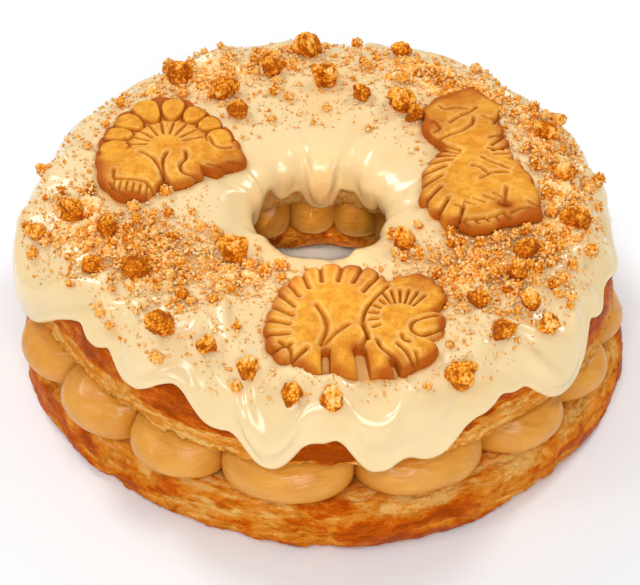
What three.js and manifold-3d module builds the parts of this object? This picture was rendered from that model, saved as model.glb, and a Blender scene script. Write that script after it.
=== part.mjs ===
// King cake: a split ring of rich bread filled with piped cream, iced, with biscuits and crumbs on top.
// Millimetres, +Z up, the origin in the middle of the flat underside.
// Angles run anticlockwise from +X, so -90 degrees is the front.
import * as THREE from 'three'
import Module from 'manifold-3d'

const wasm = await Module()
wasm.setup()

// ---- Driving dimensions -------------------------------------------------------------------------

const RING_RADIUS = 78 // radius of the ring's middle line
const RING_SQUASH = 0.95 // depth of the ring, front to back, as a share of its width
const RING_CENTRE = { x: -1.2, y: -2.5 } // puts the origin midway between the outermost points
const GAP = 0.3 // clear space that neighbouring pieces keep

// Lower half of the ring
const BASE_STEPS = 54
const BASE_TOP = 20.7
const BASE_SECTION = [
  // [radius, height] from the outer foot, over the cut top, to the inner foot
  [117.5, 0],
  [122, 2.6],
  [124, 8.5],
  [122.5, 15.5],
  [118, BASE_TOP],
  [62, BASE_TOP],
  [60.5, 14],
  [67, 5],
  [74, 0]
]
const BASE_WAVES = [[2, 35, 0.9], [5, 110, 0.7]] // [waves round the ring, start, height] outwards
const BASE_RIM_WAVE = [7, 60, 0.35] // the same for the cut rim's height
const BASE_DENT = { angle: -140, width: 32, depth: 7.5 }

// Piped cream
const CREAM_FLOOR = 21.4
const CREAM_CEILING = 41.6
const CREAM_STEPS = [-1, -0.76, -0.26, 0.26, 0.76] // places along a bulb, from crease to crease
const CREAM_CREASES = [
  -172, -151, -130, -110, -83, -56, -35, -17, 3, 25, 46, 65, 84, 103, 126, 147, 168
]
const CREAM_OUTSIDE = { bulb: 124, crease: 105, core: 96 }
const CREAM_INSIDE = { bulb: 49, crease: 58, core: 67 }
const CREAM_TURNS = [-64, -22, 22, 64] // degrees round each rounded end
const CREAM_CREASE_HEIGHT = 0.8 // height of the cream in a crease as a share of a bulb's
const CREAM_BLUNTNESS = 0.5 // power that makes the ends blunter than a half oval

// Upper half of the ring
const BUN_STEPS = 42
const BUN_FLOOR = 42
const BUN_OUTER_REACH = 42
const BUN_INNER_REACH = 48
const BUN_INNER_FRONT = { angle: -90, width: 55, depth: 3.5 } // the hole is wider here by this
const BUN_OUTER_WAIST = 57
const BUN_INNER_WAIST = 69.5
const BUN_CREST = 80
const BUN_TILT = 2.5 // the back of the crest is this much higher than its middle
const BUN_OUTER_FALL = 22 // from the outer waist down to the turn of the lower edge
const BUN_INNER_FALL = 32
const BUN_FLARE = 2.2 // how far the outer flank swells below its waist
const BUN_ROUNDNESS = { crest: 0.9, outerFlank: 0.08, innerFlank: 0.85 } // powers of its ovals
const BUN_SWELLS = [
  // [angle, width, how far the outer side stands out there]
  [-142, 28, -8.5],
  [90, 35, 4.5],
  [14, 24, -7],
  [156, 20, -4]
]
const BUN_TURNS = [-43, -8, 22, 52, 82, 112, 145, 180, 212, 239] // degrees round the section

// Icing
const ICING_STEPS = 84
const ICING_THICKNESS = 3.5
const ICING_LIP = [[0, -3], [2, 2.2], [7, 4.4], [16, 4]] // [degrees in from the edge, thickness]
const ICING_SPREAD = [0.25, 0.5, 0.75] // further places between the two lips
const ICING_OUTER_RIM = 67.5 // height of the edge between two drips
const ICING_INNER_RIM = 69
const ICING_OUTER_DRIPS = [
  // [angle, half width, height of the tip]
  [-178, 5, 57],
  [-165, 13, 46],
  [-139, 4, 63.5],
  [-127, 6, 59.5],
  [-108, 6, 58],
  [-98.5, 6.5, 44.5],
  [-90, 5, 57.5],
  [-80, 6.5, 43],
  [-71, 7.5, 45.5],
  [-62, 6, 58.5],
  [-54, 4, 61.5],
  [-43, 8, 49],
  [-28, 3, 64],
  [-14, 4, 64.5],
  [7, 6, 58],
  [24, 5.5, 47],
  [39, 5, 61],
  [57, 6.5, 53],
  [74, 5, 60],
  [88, 6, 46],
  [106, 5.5, 57],
  [121, 4.5, 63],
  [138, 6.5, 49],
  [156, 5.5, 58],
  [170, 4.5, 64]
]
const ICING_INNER_DRIPS = [
  [160, 9, 60],
  [122, 9, 62.5],
  [108, 8, 64.5],
  [90, 13, 51.5],
  [66, 9, 65.5],
  [46, 11, 60],
  [22, 9, 65],
  [0, 8, 65.5],
  [-24, 10, 61],
  [-58, 11, 58],
  [-96, 10, 63],
  [-132, 12, 57]
]

// Biscuits: a lobed outline in polar form round the middle of each one, head towards zero degrees.
// reach is the distance out to the edge at each angle, scallops are even lobes between two angles,
// and notches are narrow cuts. turn is the heading on the cake, lean the outward slope.
const BISCUIT_THICKNESS = 5.6
const BISCUIT_EDGE = 1.3 // how far the rounded top and bottom edges step in
const BISCUIT_BOW = 130 // radius of each biscuit's slight bow across the ring
const BISCUIT_STEP = 9 // degrees between two points of an even stretch of outline
const SEAT_SLACK = 1.8 // room that the icing leaves round a biscuit
const SEAT_SPAN = 20 // most degrees between two corners of a seat
const BISCUITS = [
  {
    name: 'biscuit_horned',
    angle: -80.3,
    radius: 85.5,
    height: 81.7,
    lean: 5.5,
    turn: 2,
    reach: [[180, 35.5], [150, 34.2], [124, 37], [100, 38.8], [78, 35.6], [54, 29], [36, 37.8],
      [18, 37.5], [2, 32], [342, 31], [324, 31], [300, 27.5], [272, 23.5], [235, 23.8], [214, 29],
      [190, 36]],
    scallops: [[62, 205, 11, 1.6], [8, 52, 5, 1.3]],
    notches: [[54, 4, 2], [3, 3.5, 4], [334, 4, 4.5], [294, 3, 6], [259, 4.5, 10.5], [220, 4, 7.5]]
  },
  {
    name: 'biscuit_plated',
    angle: 157,
    radius: 66,
    height: 86.2,
    lean: -1.5,
    turn: 99,
    reach: [[5, 31.8], [22, 29], [50, 27.6], [75, 28.8], [98, 33.5], [118, 37], [140, 34.2],
      [160, 30.6], [195, 29.2], [215, 30.5], [240, 35.5], [256, 38.2], [268, 34.8], [280, 26.5],
      [300, 24.6], [318, 22.4], [345, 25.7]],
    scallops: [[16, 207, 11, 1.5]],
    notches: [[284, 4, 4.5], [330, 4, 4]]
  },
  {
    name: 'biscuit_crested',
    angle: 15,
    radius: 65,
    height: 86.4,
    lean: -0.5,
    turn: -94,
    reach: [[79, 48.8], [95, 45], [108, 41], [118, 33], [139, 16.5], [150, 15.8], [172, 19.3],
      [195, 25.6], [219, 35], [243, 42.8], [256, 46], [272, 42.2], [290, 43], [300, 36],
      [312, 26.5], [332, 19], [344, 14.5], [12, 15], [42, 19.8], [54, 26], [64, 41]],
    scallops: [[138, 246, 8, 1.5], [24, 60, 2, 1.8]],
    notches: [[343, 4, 1.5], [302, 3, 1.5]]
  }
]

// Lumps of biscuit crumble: [angle, radius, size across]
const LUMPS = [
  [93, 100, 11.8], [127, 97, 11.8], [121, 77, 10.9], [104, 84, 9.2], [88, 75, 10.9],
  [75, 66, 8], [60, 67, 10.9], [71, 107, 8.4], [52, 63, 8], [123, 62, 8],
  [-171, 97, 10.9], [-169, 111, 8], [-141, 89, 10.9], [-162, 86, 9.2], [-150, 99, 8],
  [-124, 102, 10.9], [-130, 52, 12.4], [-113, 104, 8.4], [-104, 109, 9.2], [-88, 117, 8.8],
  [-95, 116, 8.6], [-65, 116, 11.6], [-42, 45, 10], [-12, 101, 10.9], [22, 99, 10.5],
  [6, 97, 8], [-27, 88, 10], [-44, 116, 8], [-52, 108, 8], [-50, 92, 8],
  [-41, 103, 8.2], [-36, 91, 8.4]
]
const LUMP_SIDES = 6
const LUMP_TIERS = [-50, -5, 40] // degrees up a lump where its rings of corners lie
const SMALL_LUMP = 9 // lumps under this size have only SMALL_LUMP_TIERS
const SMALL_LUMP_TIERS = [-35, 25]
const LUMP_ROUGHNESS = { around: 0.14, tiers: 0.08 } // swing of each corner, as a share of the size
const LUMP_RIDE = 0.3 // how far the middle stands above the icing, as a share of the size
const LUMP_POLE = 0.46 // middle to top or bottom, as a share of the size

// ---- Finishes -----------------------------------------------------------------------------------

function finish (colour, roughness) {
  return new THREE.MeshStandardMaterial({ color: colour, roughness, metalness: 0 })
}

const crustFinish = () => finish('#c8752c', 0.45)
const creamFinish = () => finish('#d9a25c', 0.35)
const icingFinish = () => finish('#f6e8c6', 0.22)
const biscuitFinish = () => finish('#dc9a50', 0.7)
const lumpFinish = () => finish('#c98440', 0.85)

// ---- Helpers ------------------------------------------------------------------------------------

const radians = THREE.MathUtils.degToRad
const UP = new THREE.Vector3(0, 0, 1)
const ACROSS = new THREE.Vector3(0, 1, 0)

// Difference of two angles in degrees, between -180 and 180.
function between (a, b) {
  return THREE.MathUtils.euclideanModulo(a - b + 180, 360) - 180
}

// A wave round the ring, given as [waves, start in degrees, height].
function waveAt (angle, [waves, start, height]) {
  return height * Math.sin(radians(waves * angle + start))
}

// A smooth hump of height 1 at its middle, in degrees.
function hump (angle, middle, width) {
  return Math.exp(-((between(angle, middle) / width) ** 2))
}

// A value between the known values [angle, value], eased so that it has no corners.
function easedRound (angle, knots) {
  const sorted = knots.map(([a, v]) => [THREE.MathUtils.euclideanModulo(a, 360), v])
  sorted.sort((p, q) => p[0] - q[0])
  const at = THREE.MathUtils.euclideanModulo(angle, 360)
  let next = sorted.findIndex(([a]) => a > at)
  if (next < 0) next = 0
  const before = sorted[(next + sorted.length - 1) % sorted.length]
  const after = sorted[next]
  const span = THREE.MathUtils.euclideanModulo(after[0] - before[0], 360)
  const share = THREE.MathUtils.euclideanModulo(at - before[0], 360) / span
  const eased = (1 - Math.cos(Math.PI * share)) / 2
  return before[1] + (after[1] - before[1]) * eased
}

// Stitches rings of points into one closed surface. Each ring has the same number of points.
// Without caps the last ring joins the first; caps are the two points that close the ends.
function stitch (rings, caps) {
  const count = rings[0].length
  const points = rings.flat()
  const faces = []
  const last = caps ? rings.length - 1 : rings.length
  for (let i = 0; i < last; i++) {
    const here = i * count
    const there = ((i + 1) % rings.length) * count
    for (let j = 0; j < count; j++) {
      const k = (j + 1) % count
      faces.push(here + j, there + j, there + k, here + j, there + k, here + k)
    }
  }
  if (caps) {
    const [first, final] = [points.length, points.length + 1]
    const start = (rings.length - 1) * count
    points.push(...caps)
    for (let j = 0; j < count; j++) {
      const k = (j + 1) % count
      faces.push(first, j, k, final, start + k, start + j)
    }
  }
  const geometry = new THREE.BufferGeometry()
  geometry.setAttribute('position', new THREE.Float32BufferAttribute(points.flatMap(p => [...p]), 3))
  geometry.setIndex(faces)
  return outward(geometry)
}

// Turns every face over if the surface encloses a negative volume.
function outward (geometry) {
  const at = geometry.getAttribute('position')
  const index = geometry.getIndex()
  const [a, b, c] = [new THREE.Vector3(), new THREE.Vector3(), new THREE.Vector3()]
  let volume = 0
  for (let i = 0; i < index.count; i += 3) {
    a.fromBufferAttribute(at, index.getX(i))
    b.fromBufferAttribute(at, index.getX(i + 1))
    c.fromBufferAttribute(at, index.getX(i + 2))
    volume += a.dot(b.cross(c))
  }
  if (volume < 0) geometry.setIndex(Array.from(index.array).reverse())
  return geometry
}

// A point of the ring from its angle, its radius across the wide way and its height.
function ringPoint (angle, radius, height) {
  const turn = radians(angle)
  return new THREE.Vector3(
    RING_CENTRE.x + radius * Math.cos(turn),
    RING_CENTRE.y + RING_SQUASH * radius * Math.sin(turn),
    height
  )
}

// A closed ring made of one section per angle; section(angle) gives its [radius, height] points.
function ringBody (angles, section) {
  return stitch(angles.map(a => section(a).map(([r, z]) => ringPoint(a, r, z))))
}

function evenAngles (count) {
  return Array.from({ length: count }, (_, i) => -180 + (360 * i) / count)
}

function toSolid (geometry) {
  return new wasm.Manifold(new wasm.Mesh({
    numProp: 3,
    vertProperties: new Float32Array(geometry.getAttribute('position').array),
    triVerts: new Uint32Array(geometry.getIndex().array)
  }))
}

function toGeometry (solid) {
  const mesh = solid.getMesh()
  const geometry = new THREE.BufferGeometry()
  geometry.setAttribute('position', new THREE.Float32BufferAttribute(mesh.vertProperties, 3))
  geometry.setIndex(Array.from(mesh.triVerts))
  return geometry
}

function named (name, geometry, material) {
  geometry.computeVertexNormals()
  const mesh = new THREE.Mesh(geometry, material)
  mesh.name = name
  return mesh
}

// ---- Lower half ---------------------------------------------------------------------------------

function baseGeometry () {
  return ringBody(evenAngles(BASE_STEPS), angle => {
    const sway = BASE_WAVES.reduce((sum, wave) => sum + waveAt(angle, wave), 0)
    const dent = BASE_DENT.depth * hump(angle, BASE_DENT.angle, BASE_DENT.width)
    return BASE_SECTION.map(([r, z]) => {
      const radius = r > RING_RADIUS ? r + sway - dent : r + sway / 2
      return [radius, z === BASE_TOP ? z + waveAt(angle, BASE_RIM_WAVE) : z]
    })
  })
}

// ---- Piped cream --------------------------------------------------------------------------------

// The fullness of a bulb, 0 in its creases and 1 along its middle, is one minus the place's
// size to the power 2.4, all to the power 0.55.
function bulbFullness (place) {
  return Math.max(0, 1 - Math.abs(place) ** 2.4) ** 0.55
}

function creamGeometry () {
  const middle = (CREAM_FLOOR + CREAM_CEILING) / 2
  const halfHeight = (CREAM_CEILING - CREAM_FLOOR) / 2
  const steepest = Math.sin(radians(CREAM_TURNS[CREAM_TURNS.length - 1]))
  const rings = []
  CREAM_CREASES.forEach((crease, i) => {
    const next = CREAM_CREASES[(i + 1) % CREAM_CREASES.length]
    const width = THREE.MathUtils.euclideanModulo(next - crease, 360)
    for (const place of CREAM_STEPS) {
      const angle = crease + (width * (place + 1)) / 2
      const full = bulbFullness(place)
      const rise = halfHeight * (CREAM_CREASE_HEIGHT + (1 - CREAM_CREASE_HEIGHT) * full)
      const end = ({ bulb, crease: low, core }, turn) => {
        const tip = low + (bulb - low) * full
        const radius = core + (tip - core) * Math.cos(radians(turn)) ** CREAM_BLUNTNESS
        return ringPoint(angle, radius, middle + (rise * Math.sin(radians(turn))) / steepest)
      }
      const outside = CREAM_TURNS.map(turn => end(CREAM_OUTSIDE, turn))
      const inside = CREAM_TURNS.map(turn => end(CREAM_INSIDE, -turn))
      rings.push([...outside, ...inside])
    }
  })
  return stitch(rings)
}

// ---- Upper half ---------------------------------------------------------------------------------

// The bun's section is two quarter ovals over two flanks. turn 0 is the outermost point, 90 the
// crest and 180 the innermost; grow moves the surface outwards for what lies on it.
function bunPoint (angle, turn, grow) {
  const side = Math.cos(radians(turn))
  const rise = Math.sin(radians(turn))
  const inward = (1 - side) / 2
  const lift = BUN_TILT * Math.sin(radians(angle))
  const innerWaist = BUN_INNER_WAIST + lift
  const waist = BUN_OUTER_WAIST + (innerWaist - BUN_OUTER_WAIST) * inward
  const swell = BUN_SWELLS.reduce((sum, [at, width, out]) => sum + out * hump(angle, at, width), 0)
  const front = BUN_INNER_FRONT.depth * hump(angle, BUN_INNER_FRONT.angle, BUN_INNER_FRONT.width)
  const reach = (side > 0 ? BUN_OUTER_REACH + swell : BUN_INNER_REACH - front) + grow
  if (rise >= 0) {
    const out = Math.sign(side) * reach * Math.abs(side) ** BUN_ROUNDNESS.crest
    return [RING_RADIUS + out, waist + (BUN_CREST + lift + grow - waist) * rise ** BUN_ROUNDNESS.crest]
  }
  if (side > 0) {
    const flank = reach * side ** BUN_ROUNDNESS.outerFlank - BUN_FLARE * rise
    return [RING_RADIUS + flank, waist + BUN_OUTER_FALL * rise]
  }
  const flank = reach * (-side) ** BUN_ROUNDNESS.innerFlank
  return [RING_RADIUS - flank, waist + BUN_INNER_FALL * rise]
}

function bunGeometry (grow) {
  return ringBody(evenAngles(BUN_STEPS), angle => BUN_TURNS.map((turn, i) => {
    const [radius, height] = bunPoint(angle, turn, grow)
    const edge = i === 0 || i === BUN_TURNS.length - 1
    return [radius, edge ? BUN_FLOOR - grow : height]
  }))
}

// ---- Icing --------------------------------------------------------------------------------------

// The edge lies at the rim's height, lowered by the deepest drips near this angle. A high power
// blends neighbouring drips without adding them up.
function edgeHeight (angle, rim, drips) {
  let fall = 0
  for (const [middle, width, tip] of drips) {
    const off = Math.abs(between(angle, middle)) / width
    fall += ((rim - tip) * Math.exp(-(off ** 2.4))) ** 4
  }
  return rim - fall ** 0.25
}

// Halves the stretch of turns from low to high until it is where `beyond` changes to true.
function findTurn (low, high, beyond) {
  for (let i = 0; i < 24; i++) {
    const middle = (low + high) / 2
    if (beyond(middle)) high = middle
    else low = middle
  }
  return (low + high) / 2
}

// The turn of the section at which the icing's surface is at a height, on one flank.
function turnAtHeight (angle, height, outside) {
  const [low, high] = outside ? [-42, 80] : [236, 100]
  return findTurn(low, high, turn => bunPoint(angle, turn, ICING_THICKNESS)[1] >= height)
}

// The turn of the section at which the icing's surface has a radius, between its two flanks.
function turnAtRadius (angle, radius) {
  return findTurn(0, 180, turn => bunPoint(angle, turn, ICING_THICKNESS)[0] <= radius)
}

function icingShell (grow) {
  const lipEnd = ICING_LIP[ICING_LIP.length - 1][0]
  return ringBody(evenAngles(ICING_STEPS), angle => {
    const innerRim = ICING_INNER_RIM + BUN_TILT * Math.sin(radians(angle))
    const outer = turnAtHeight(angle, edgeHeight(angle, ICING_OUTER_RIM, ICING_OUTER_DRIPS), true)
    const inner = turnAtHeight(angle, edgeHeight(angle, innerRim, ICING_INNER_DRIPS), false)
    const span = inner - outer - 2 * lipEnd
    const section = [
      ...ICING_LIP.map(([step, thick]) => [outer + step, thick]),
      ...ICING_SPREAD.map(share => [outer + lipEnd + span * share, ICING_THICKNESS]),
      ...ICING_LIP.toReversed().map(([step, thick]) => [inner - step, thick])
    ]
    return section.map(([turn, thick]) => bunPoint(angle, turn, thick + (thick > 0 ? grow : 0)))
  })
}

// ---- Biscuits -----------------------------------------------------------------------------------

// Distance from the biscuit's middle to its edge.
function biscuitReach (spec, angle) {
  let reach = easedRound(angle, spec.reach)
  for (const [from, to, lobes, depth] of spec.scallops) {
    const along = THREE.MathUtils.euclideanModulo(angle - from, 360) / (to - from)
    if (along <= 1) reach += depth * (Math.abs(Math.sin(Math.PI * lobes * along)) - 1)
  }
  for (const [middle, width, depth] of spec.notches) reach -= depth * hump(angle, middle, width)
  return reach
}

// Three steps to each scallop, even steps elsewhere, and the middle and sides of every notch.
function biscuitAngles (spec) {
  const angles = spec.notches.flatMap(([middle, width]) => [middle - width, middle, middle + width])
  for (const [from, to, lobes] of spec.scallops) {
    const step = (to - from) / lobes / 3
    for (let angle = from; angle < to; angle += step) angles.push(angle)
  }
  const open = angle => angles.every(known => Math.abs(between(known, angle)) > BISCUIT_STEP / 2)
  for (let angle = 0; angle < 360; angle += BISCUIT_STEP) if (open(angle)) angles.push(angle)
  return angles.map(angle => THREE.MathUtils.euclideanModulo(angle, 360)).sort((a, b) => a - b)
}

// Takes a point of a biscuit lying flat to its place: turned, bowed across the ring, leaned, placed.
function layBiscuit (spec, x, y, z) {
  const point = new THREE.Vector3(x, y, z).applyAxisAngle(UP, radians(spec.turn))
  point.z -= point.y ** 2 / (2 * BISCUIT_BOW)
  return point
    .applyAxisAngle(UP, radians(90))
    .applyAxisAngle(ACROSS, radians(spec.lean))
    .applyAxisAngle(UP, radians(spec.angle))
    .add(ringPoint(spec.angle, spec.radius, spec.height))
}

// A slab whose tiers are [height, reach at an angle], lying in a biscuit's place.
function slab (spec, tiers, angles) {
  const rings = tiers.map(([height, reachAt]) => angles.map(angle => {
    const reach = reachAt(angle)
    const turn = radians(angle)
    return layBiscuit(spec, reach * Math.cos(turn), reach * Math.sin(turn), height)
  }))
  const ends = [tiers[0][0], tiers[tiers.length - 1][0]]
  return stitch(rings, ends.map(height => layBiscuit(spec, 0, 0, height)))
}

// The biscuit itself, with stepped-in top and bottom edges.
function biscuitGeometry (spec) {
  const half = BISCUIT_THICKNESS / 2
  const whole = angle => biscuitReach(spec, angle)
  const steppedIn = angle => whole(angle) - BISCUIT_EDGE
  const tiers = [[-half, steppedIn], [half * 0.2, whole], [half, steppedIn]]
  return slab(spec, tiers, biscuitAngles(spec))
}

// The room that a biscuit takes up in its neighbours: its outline without lobes or notches.
function seatGeometry (spec) {
  const deep = BISCUIT_THICKNESS / 2 + GAP
  const around = angle => easedRound(angle, spec.reach) + SEAT_SLACK
  const corners = spec.reach.map(([angle]) => THREE.MathUtils.euclideanModulo(angle, 360))
  corners.sort((a, b) => a - b)
  const angles = corners.flatMap((from, i) => {
    const span = (corners[i + 1] ?? corners[0] + 360) - from
    const parts = Math.ceil(span / SEAT_SPAN)
    return Array.from({ length: parts }, (_, j) => from + (span * j) / parts)
  })
  return slab(spec, [[-deep, around], [deep, around]], angles)
}

// ---- Lumps of crumble ---------------------------------------------------------------------------

// An uneven ball: every corner is pushed in or out by two crossed waves.
function lumpGeometry ([angle, radius, size], number) {
  const [r, z] = bunPoint(angle, turnAtRadius(angle, radius), ICING_THICKNESS + size * LUMP_RIDE)
  const middle = ringPoint(angle, r, z)
  const tiers = size < SMALL_LUMP ? SMALL_LUMP_TIERS : LUMP_TIERS
  const rings = tiers.map((tier, i) => Array.from({ length: LUMP_SIDES }, (_, j) => {
    const around = (2 * Math.PI * (j + 0.5 * (i % 2))) / LUMP_SIDES + number
    const sideways = LUMP_ROUGHNESS.around * Math.sin(5 * around + 3 * number + 2 * i)
    const upwards = LUMP_ROUGHNESS.tiers * Math.cos(7 * i + number)
    const reach = (size / 2) * (1 + sideways + upwards)
    return new THREE.Vector3(reach, 0, 0)
      .applyAxisAngle(ACROSS, -radians(tier))
      .applyAxisAngle(UP, around)
      .add(middle)
  }))
  const poles = [-1, 1].map(way => middle.clone().addScaledVector(UP, way * size * LUMP_POLE))
  return stitch(rings, poles)
}

// ---- Assembly -----------------------------------------------------------------------------------

const cake = new THREE.Group()
cake.name = 'king_cake'

cake.add(named('bun_base', baseGeometry(), crustFinish()))
cake.add(named('cream_ring', creamGeometry(), creamFinish()))
cake.add(named('bun_top', bunGeometry(0), crustFinish()))

// The icing is what is left of its shell outside the bun, less a seat for each biscuit.
let icing = toSolid(icingShell(0)).subtract(toSolid(bunGeometry(GAP)))
for (const spec of BISCUITS) icing = icing.subtract(toSolid(seatGeometry(spec)))
cake.add(named('icing', toGeometry(icing), icingFinish()))

for (const spec of BISCUITS) cake.add(named(spec.name, biscuitGeometry(spec), biscuitFinish()))

// Each lump sits on the icing: what would reach into the icing or a biscuit is trimmed off.
let taken = toSolid(icingShell(GAP))
for (const spec of BISCUITS) taken = taken.add(toSolid(seatGeometry(spec)))
LUMPS.forEach((lump, i) => {
  const trimmed = toSolid(lumpGeometry(lump, i)).subtract(taken)
  cake.add(named(`crumb_lump_${String(i + 1).padStart(2, '0')}`, toGeometry(trimmed), lumpFinish()))
})

export default cake
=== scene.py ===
"""King cake: a ring of rich bread, split and filled with piped cream, iced, with biscuits and crumble on top.

Lengths here are in millimetres and angles in degrees, anticlockwise from +X, so -90 is the front of the
cake. They become metres where a mesh is made. The panel's sizes, the lights and the camera are in metres.
"""

import bpy
import numpy as np
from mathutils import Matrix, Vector


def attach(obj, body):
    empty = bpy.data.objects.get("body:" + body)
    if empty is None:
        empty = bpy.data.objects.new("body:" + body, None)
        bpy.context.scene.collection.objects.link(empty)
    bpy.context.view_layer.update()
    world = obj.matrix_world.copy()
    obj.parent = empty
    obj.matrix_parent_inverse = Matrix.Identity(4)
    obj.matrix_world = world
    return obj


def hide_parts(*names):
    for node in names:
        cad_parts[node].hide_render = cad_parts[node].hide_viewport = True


bl_info = {
    "name": "King Cake",
    "version": (1, 0, 0),
    "blender": (4, 5, 0),
    "location": "View3D > Sidebar > Cake",
    "description": "An iced ring cake with piped cream, biscuits and crumble, built round its packed solids",
    "category": "Add Mesh",
}

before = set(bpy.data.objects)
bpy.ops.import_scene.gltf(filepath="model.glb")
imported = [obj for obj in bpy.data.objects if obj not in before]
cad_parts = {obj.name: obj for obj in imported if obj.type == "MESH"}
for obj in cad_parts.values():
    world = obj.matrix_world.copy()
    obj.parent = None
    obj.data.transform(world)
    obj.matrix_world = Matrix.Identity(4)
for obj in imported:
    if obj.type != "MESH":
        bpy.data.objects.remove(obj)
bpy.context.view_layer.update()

MM = 0.001  # metres in a millimetre
FAR = 1e9  # further than anything

# ---- Sizes shared with the solids ---------------------------------------------------------------

RING_RADIUS = 78
RING_SQUASH = 0.95  # depth of the ring as a share of its width
RING_CENTRE = (-1.2, -2.5)

BASE_TOP = 20.7
BASE_SECTION = [  # radius, height, steps to the next corner
    (117.5, 0, 8),
    (122, 2.6, 10),
    (124, 8.5, 11),
    (122.5, 15.5, 10),
    (118, BASE_TOP, 14),
    (106, BASE_TOP, 8),
    (62, BASE_TOP, 8),
    (60.5, 14, 9),
    (67, 5, 6),
    (74, 0, 3),
]
BASE_WAVES = [(2, 35, 0.9), (5, 110, 0.7)]  # waves round the ring, start, height
BASE_DENT = (-140, 32, 7.5)  # angle, width, depth

CREAM_FLOOR, CREAM_CEILING = 21.4, 41.6
CREAM_CREASES = (-172, -151, -130, -110, -83, -56, -35, -17, 3, 25, 46, 65, 84, 103, 126, 147, 168)
CREAM_OUTSIDE = (124, 105, 96)  # radius of a bulb, of a crease and of the core
CREAM_INSIDE = (49, 58, 67)
CREAM_TURN = 64  # degrees that each rounded end turns either way
CREAM_CREASE_HEIGHT = 0.8

BUN_FLOOR = 42
BUN_FEET = (-43, 239)  # degrees round the section of its outer and its inner foot
BUN_REACH = (42, 48)  # from the ring's middle line outwards, and inwards
BUN_INNER_FRONT = (-90, 55, 3.5)  # angle, width and depth of the place where the hole is wider
BUN_WAIST = (57, 69.5)  # height of the outermost and of the innermost point
BUN_CREST = 80
BUN_TILT = 2.5
BUN_FALL = (22, 32)
BUN_FLARE = 2.2
BUN_SWELLS = [(-142, 28, -8.5), (90, 35, 4.5), (14, 24, -7), (156, 20, -4)]  # angle, width, outwards

ICING_OUTER_RIM, ICING_INNER_RIM = 67.5, 69
ICING_OUTER_DRIPS = [  # angle, half width, height of the tip
    (-178, 5, 57), (-165, 13, 46), (-139, 4, 63.5), (-127, 6, 59.5), (-108, 6, 58), (-98.5, 6.5, 44.5),
    (-90, 5, 57.5), (-80, 6.5, 43), (-71, 7.5, 45.5), (-62, 6, 58.5), (-54, 4, 61.5), (-43, 8, 49),
    (-28, 3, 64), (-14, 4, 64.5), (7, 6, 58), (24, 5.5, 47), (39, 5, 61), (57, 6.5, 53), (74, 5, 60),
    (88, 6, 46), (106, 5.5, 57), (121, 4.5, 63), (138, 6.5, 49), (156, 5.5, 58), (170, 4.5, 64),
]
ICING_INNER_DRIPS = [
    (160, 9, 60), (122, 9, 62.5), (108, 8, 64.5), (90, 13, 51.5), (66, 9, 65.5), (46, 11, 60), (22, 9, 65),
    (0, 8, 65.5), (-24, 10, 61), (-58, 11, 58), (-96, 10, 63), (-132, 12, 57),
]

BISCUIT_BOW = 130  # radius of a biscuit's slight bow across the ring

# ---- Lumps of crumble: angle, radius, size across -----------------------------------------------

LUMPS = [
    (93, 100, 11.8), (127, 97, 11.8), (121, 77, 10.9), (104, 84, 9.2), (88, 75, 10.9),
    (75, 66, 8), (60, 67, 10.9), (71, 107, 8.4), (52, 63, 8), (123, 62, 8),
    (-171, 97, 10.9), (-169, 111, 8), (-141, 89, 10.9), (-162, 86, 9.2), (-150, 99, 8),
    (-124, 102, 10.9), (-130, 52, 12.4), (-113, 104, 8.4), (-104, 109, 9.2), (-88, 117, 8.8),
    (-95, 116, 8.6), (-65, 116, 11.6), (-42, 45, 10), (-12, 101, 10.9), (22, 99, 10.5),
    (6, 97, 8), (-27, 88, 10), (-44, 116, 8), (-52, 108, 8), (-50, 92, 8),
    (-41, 103, 8.2), (-36, 91, 8.4),
]

# Where crumbs lie thickest: angle and half width in degrees, radius and half width, share, pile height
HEAPS = [
    (-147, 17, 78, 16, 0.27, 2.6),
    (-125, 12, 62, 10, 0.10, 1.6),
    (-168, 12, 96, 12, 0.07, 1.2),
    (-38, 15, 82, 17, 0.27, 2.8),
    (-8, 16, 96, 10, 0.10, 1.8),
    (115, 24, 94, 12, 0.13, 1.6),
    (58, 22, 94, 13, 0.11, 1.3),
    (22, 15, 99, 11, 0.10, 1.5),
]

# ---- Numbers ------------------------------------------------------------------------------------


def linear(code):
    """An sRGB hex colour in linear light: c / 12.92 if dark, else ((c + 0.055) / 1.055) to the power 2.4."""
    c = np.array([int(code[i : i + 2], 16) for i in (1, 3, 5)]) / 255
    return tuple(float(v) for v in np.where(c <= 0.04045, c / 12.92, ((c + 0.055) / 1.055) ** 2.4))


def between(a, b):
    """Difference of two angles, from -180 to 180."""
    return (np.asarray(a) - b + 180) % 360 - 180


def bell(value):
    """A bell curve: e to the minus square of the value."""
    return np.exp(-(value**2))


def hump(angle, middle, width):
    """A bell of height 1 round its middle angle."""
    return bell(between(angle, middle) / width)


def aimed(angle):
    """The cosine and the sine of an angle."""
    return np.cos(np.radians(angle)), np.sin(np.radians(angle))


def ramp(value, low, high):
    """0 below low and 1 above high, with an S curve 3t^2 - 2t^3 between them."""
    t = np.clip((np.asarray(value, float) - low) / (high - low), 0, 1)
    return t * t * (3 - 2 * t)


def hashed(cells, seed):
    """A random number from 0 to 1 for each whole cell: coordinates times large odd factors, bits mixed."""
    c = cells.astype(np.int64).astype(np.uint64)
    factors = np.array([0x9E3779B97F4A7C15, 0xC2B2AE3D27D4EB4F, 0x165667B19E3779F9], np.uint64)
    h = (c * factors).sum(-1, dtype=np.uint64) + np.uint64(seed * 7919 + 17)
    h ^= h >> np.uint64(29)
    h *= np.uint64(0xBF58476D1CE4E5B9)
    h ^= h >> np.uint64(32)
    h *= np.uint64(0x94D049BB133111EB)
    return (h >> np.uint64(40)).astype(float) / 2**24


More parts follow.
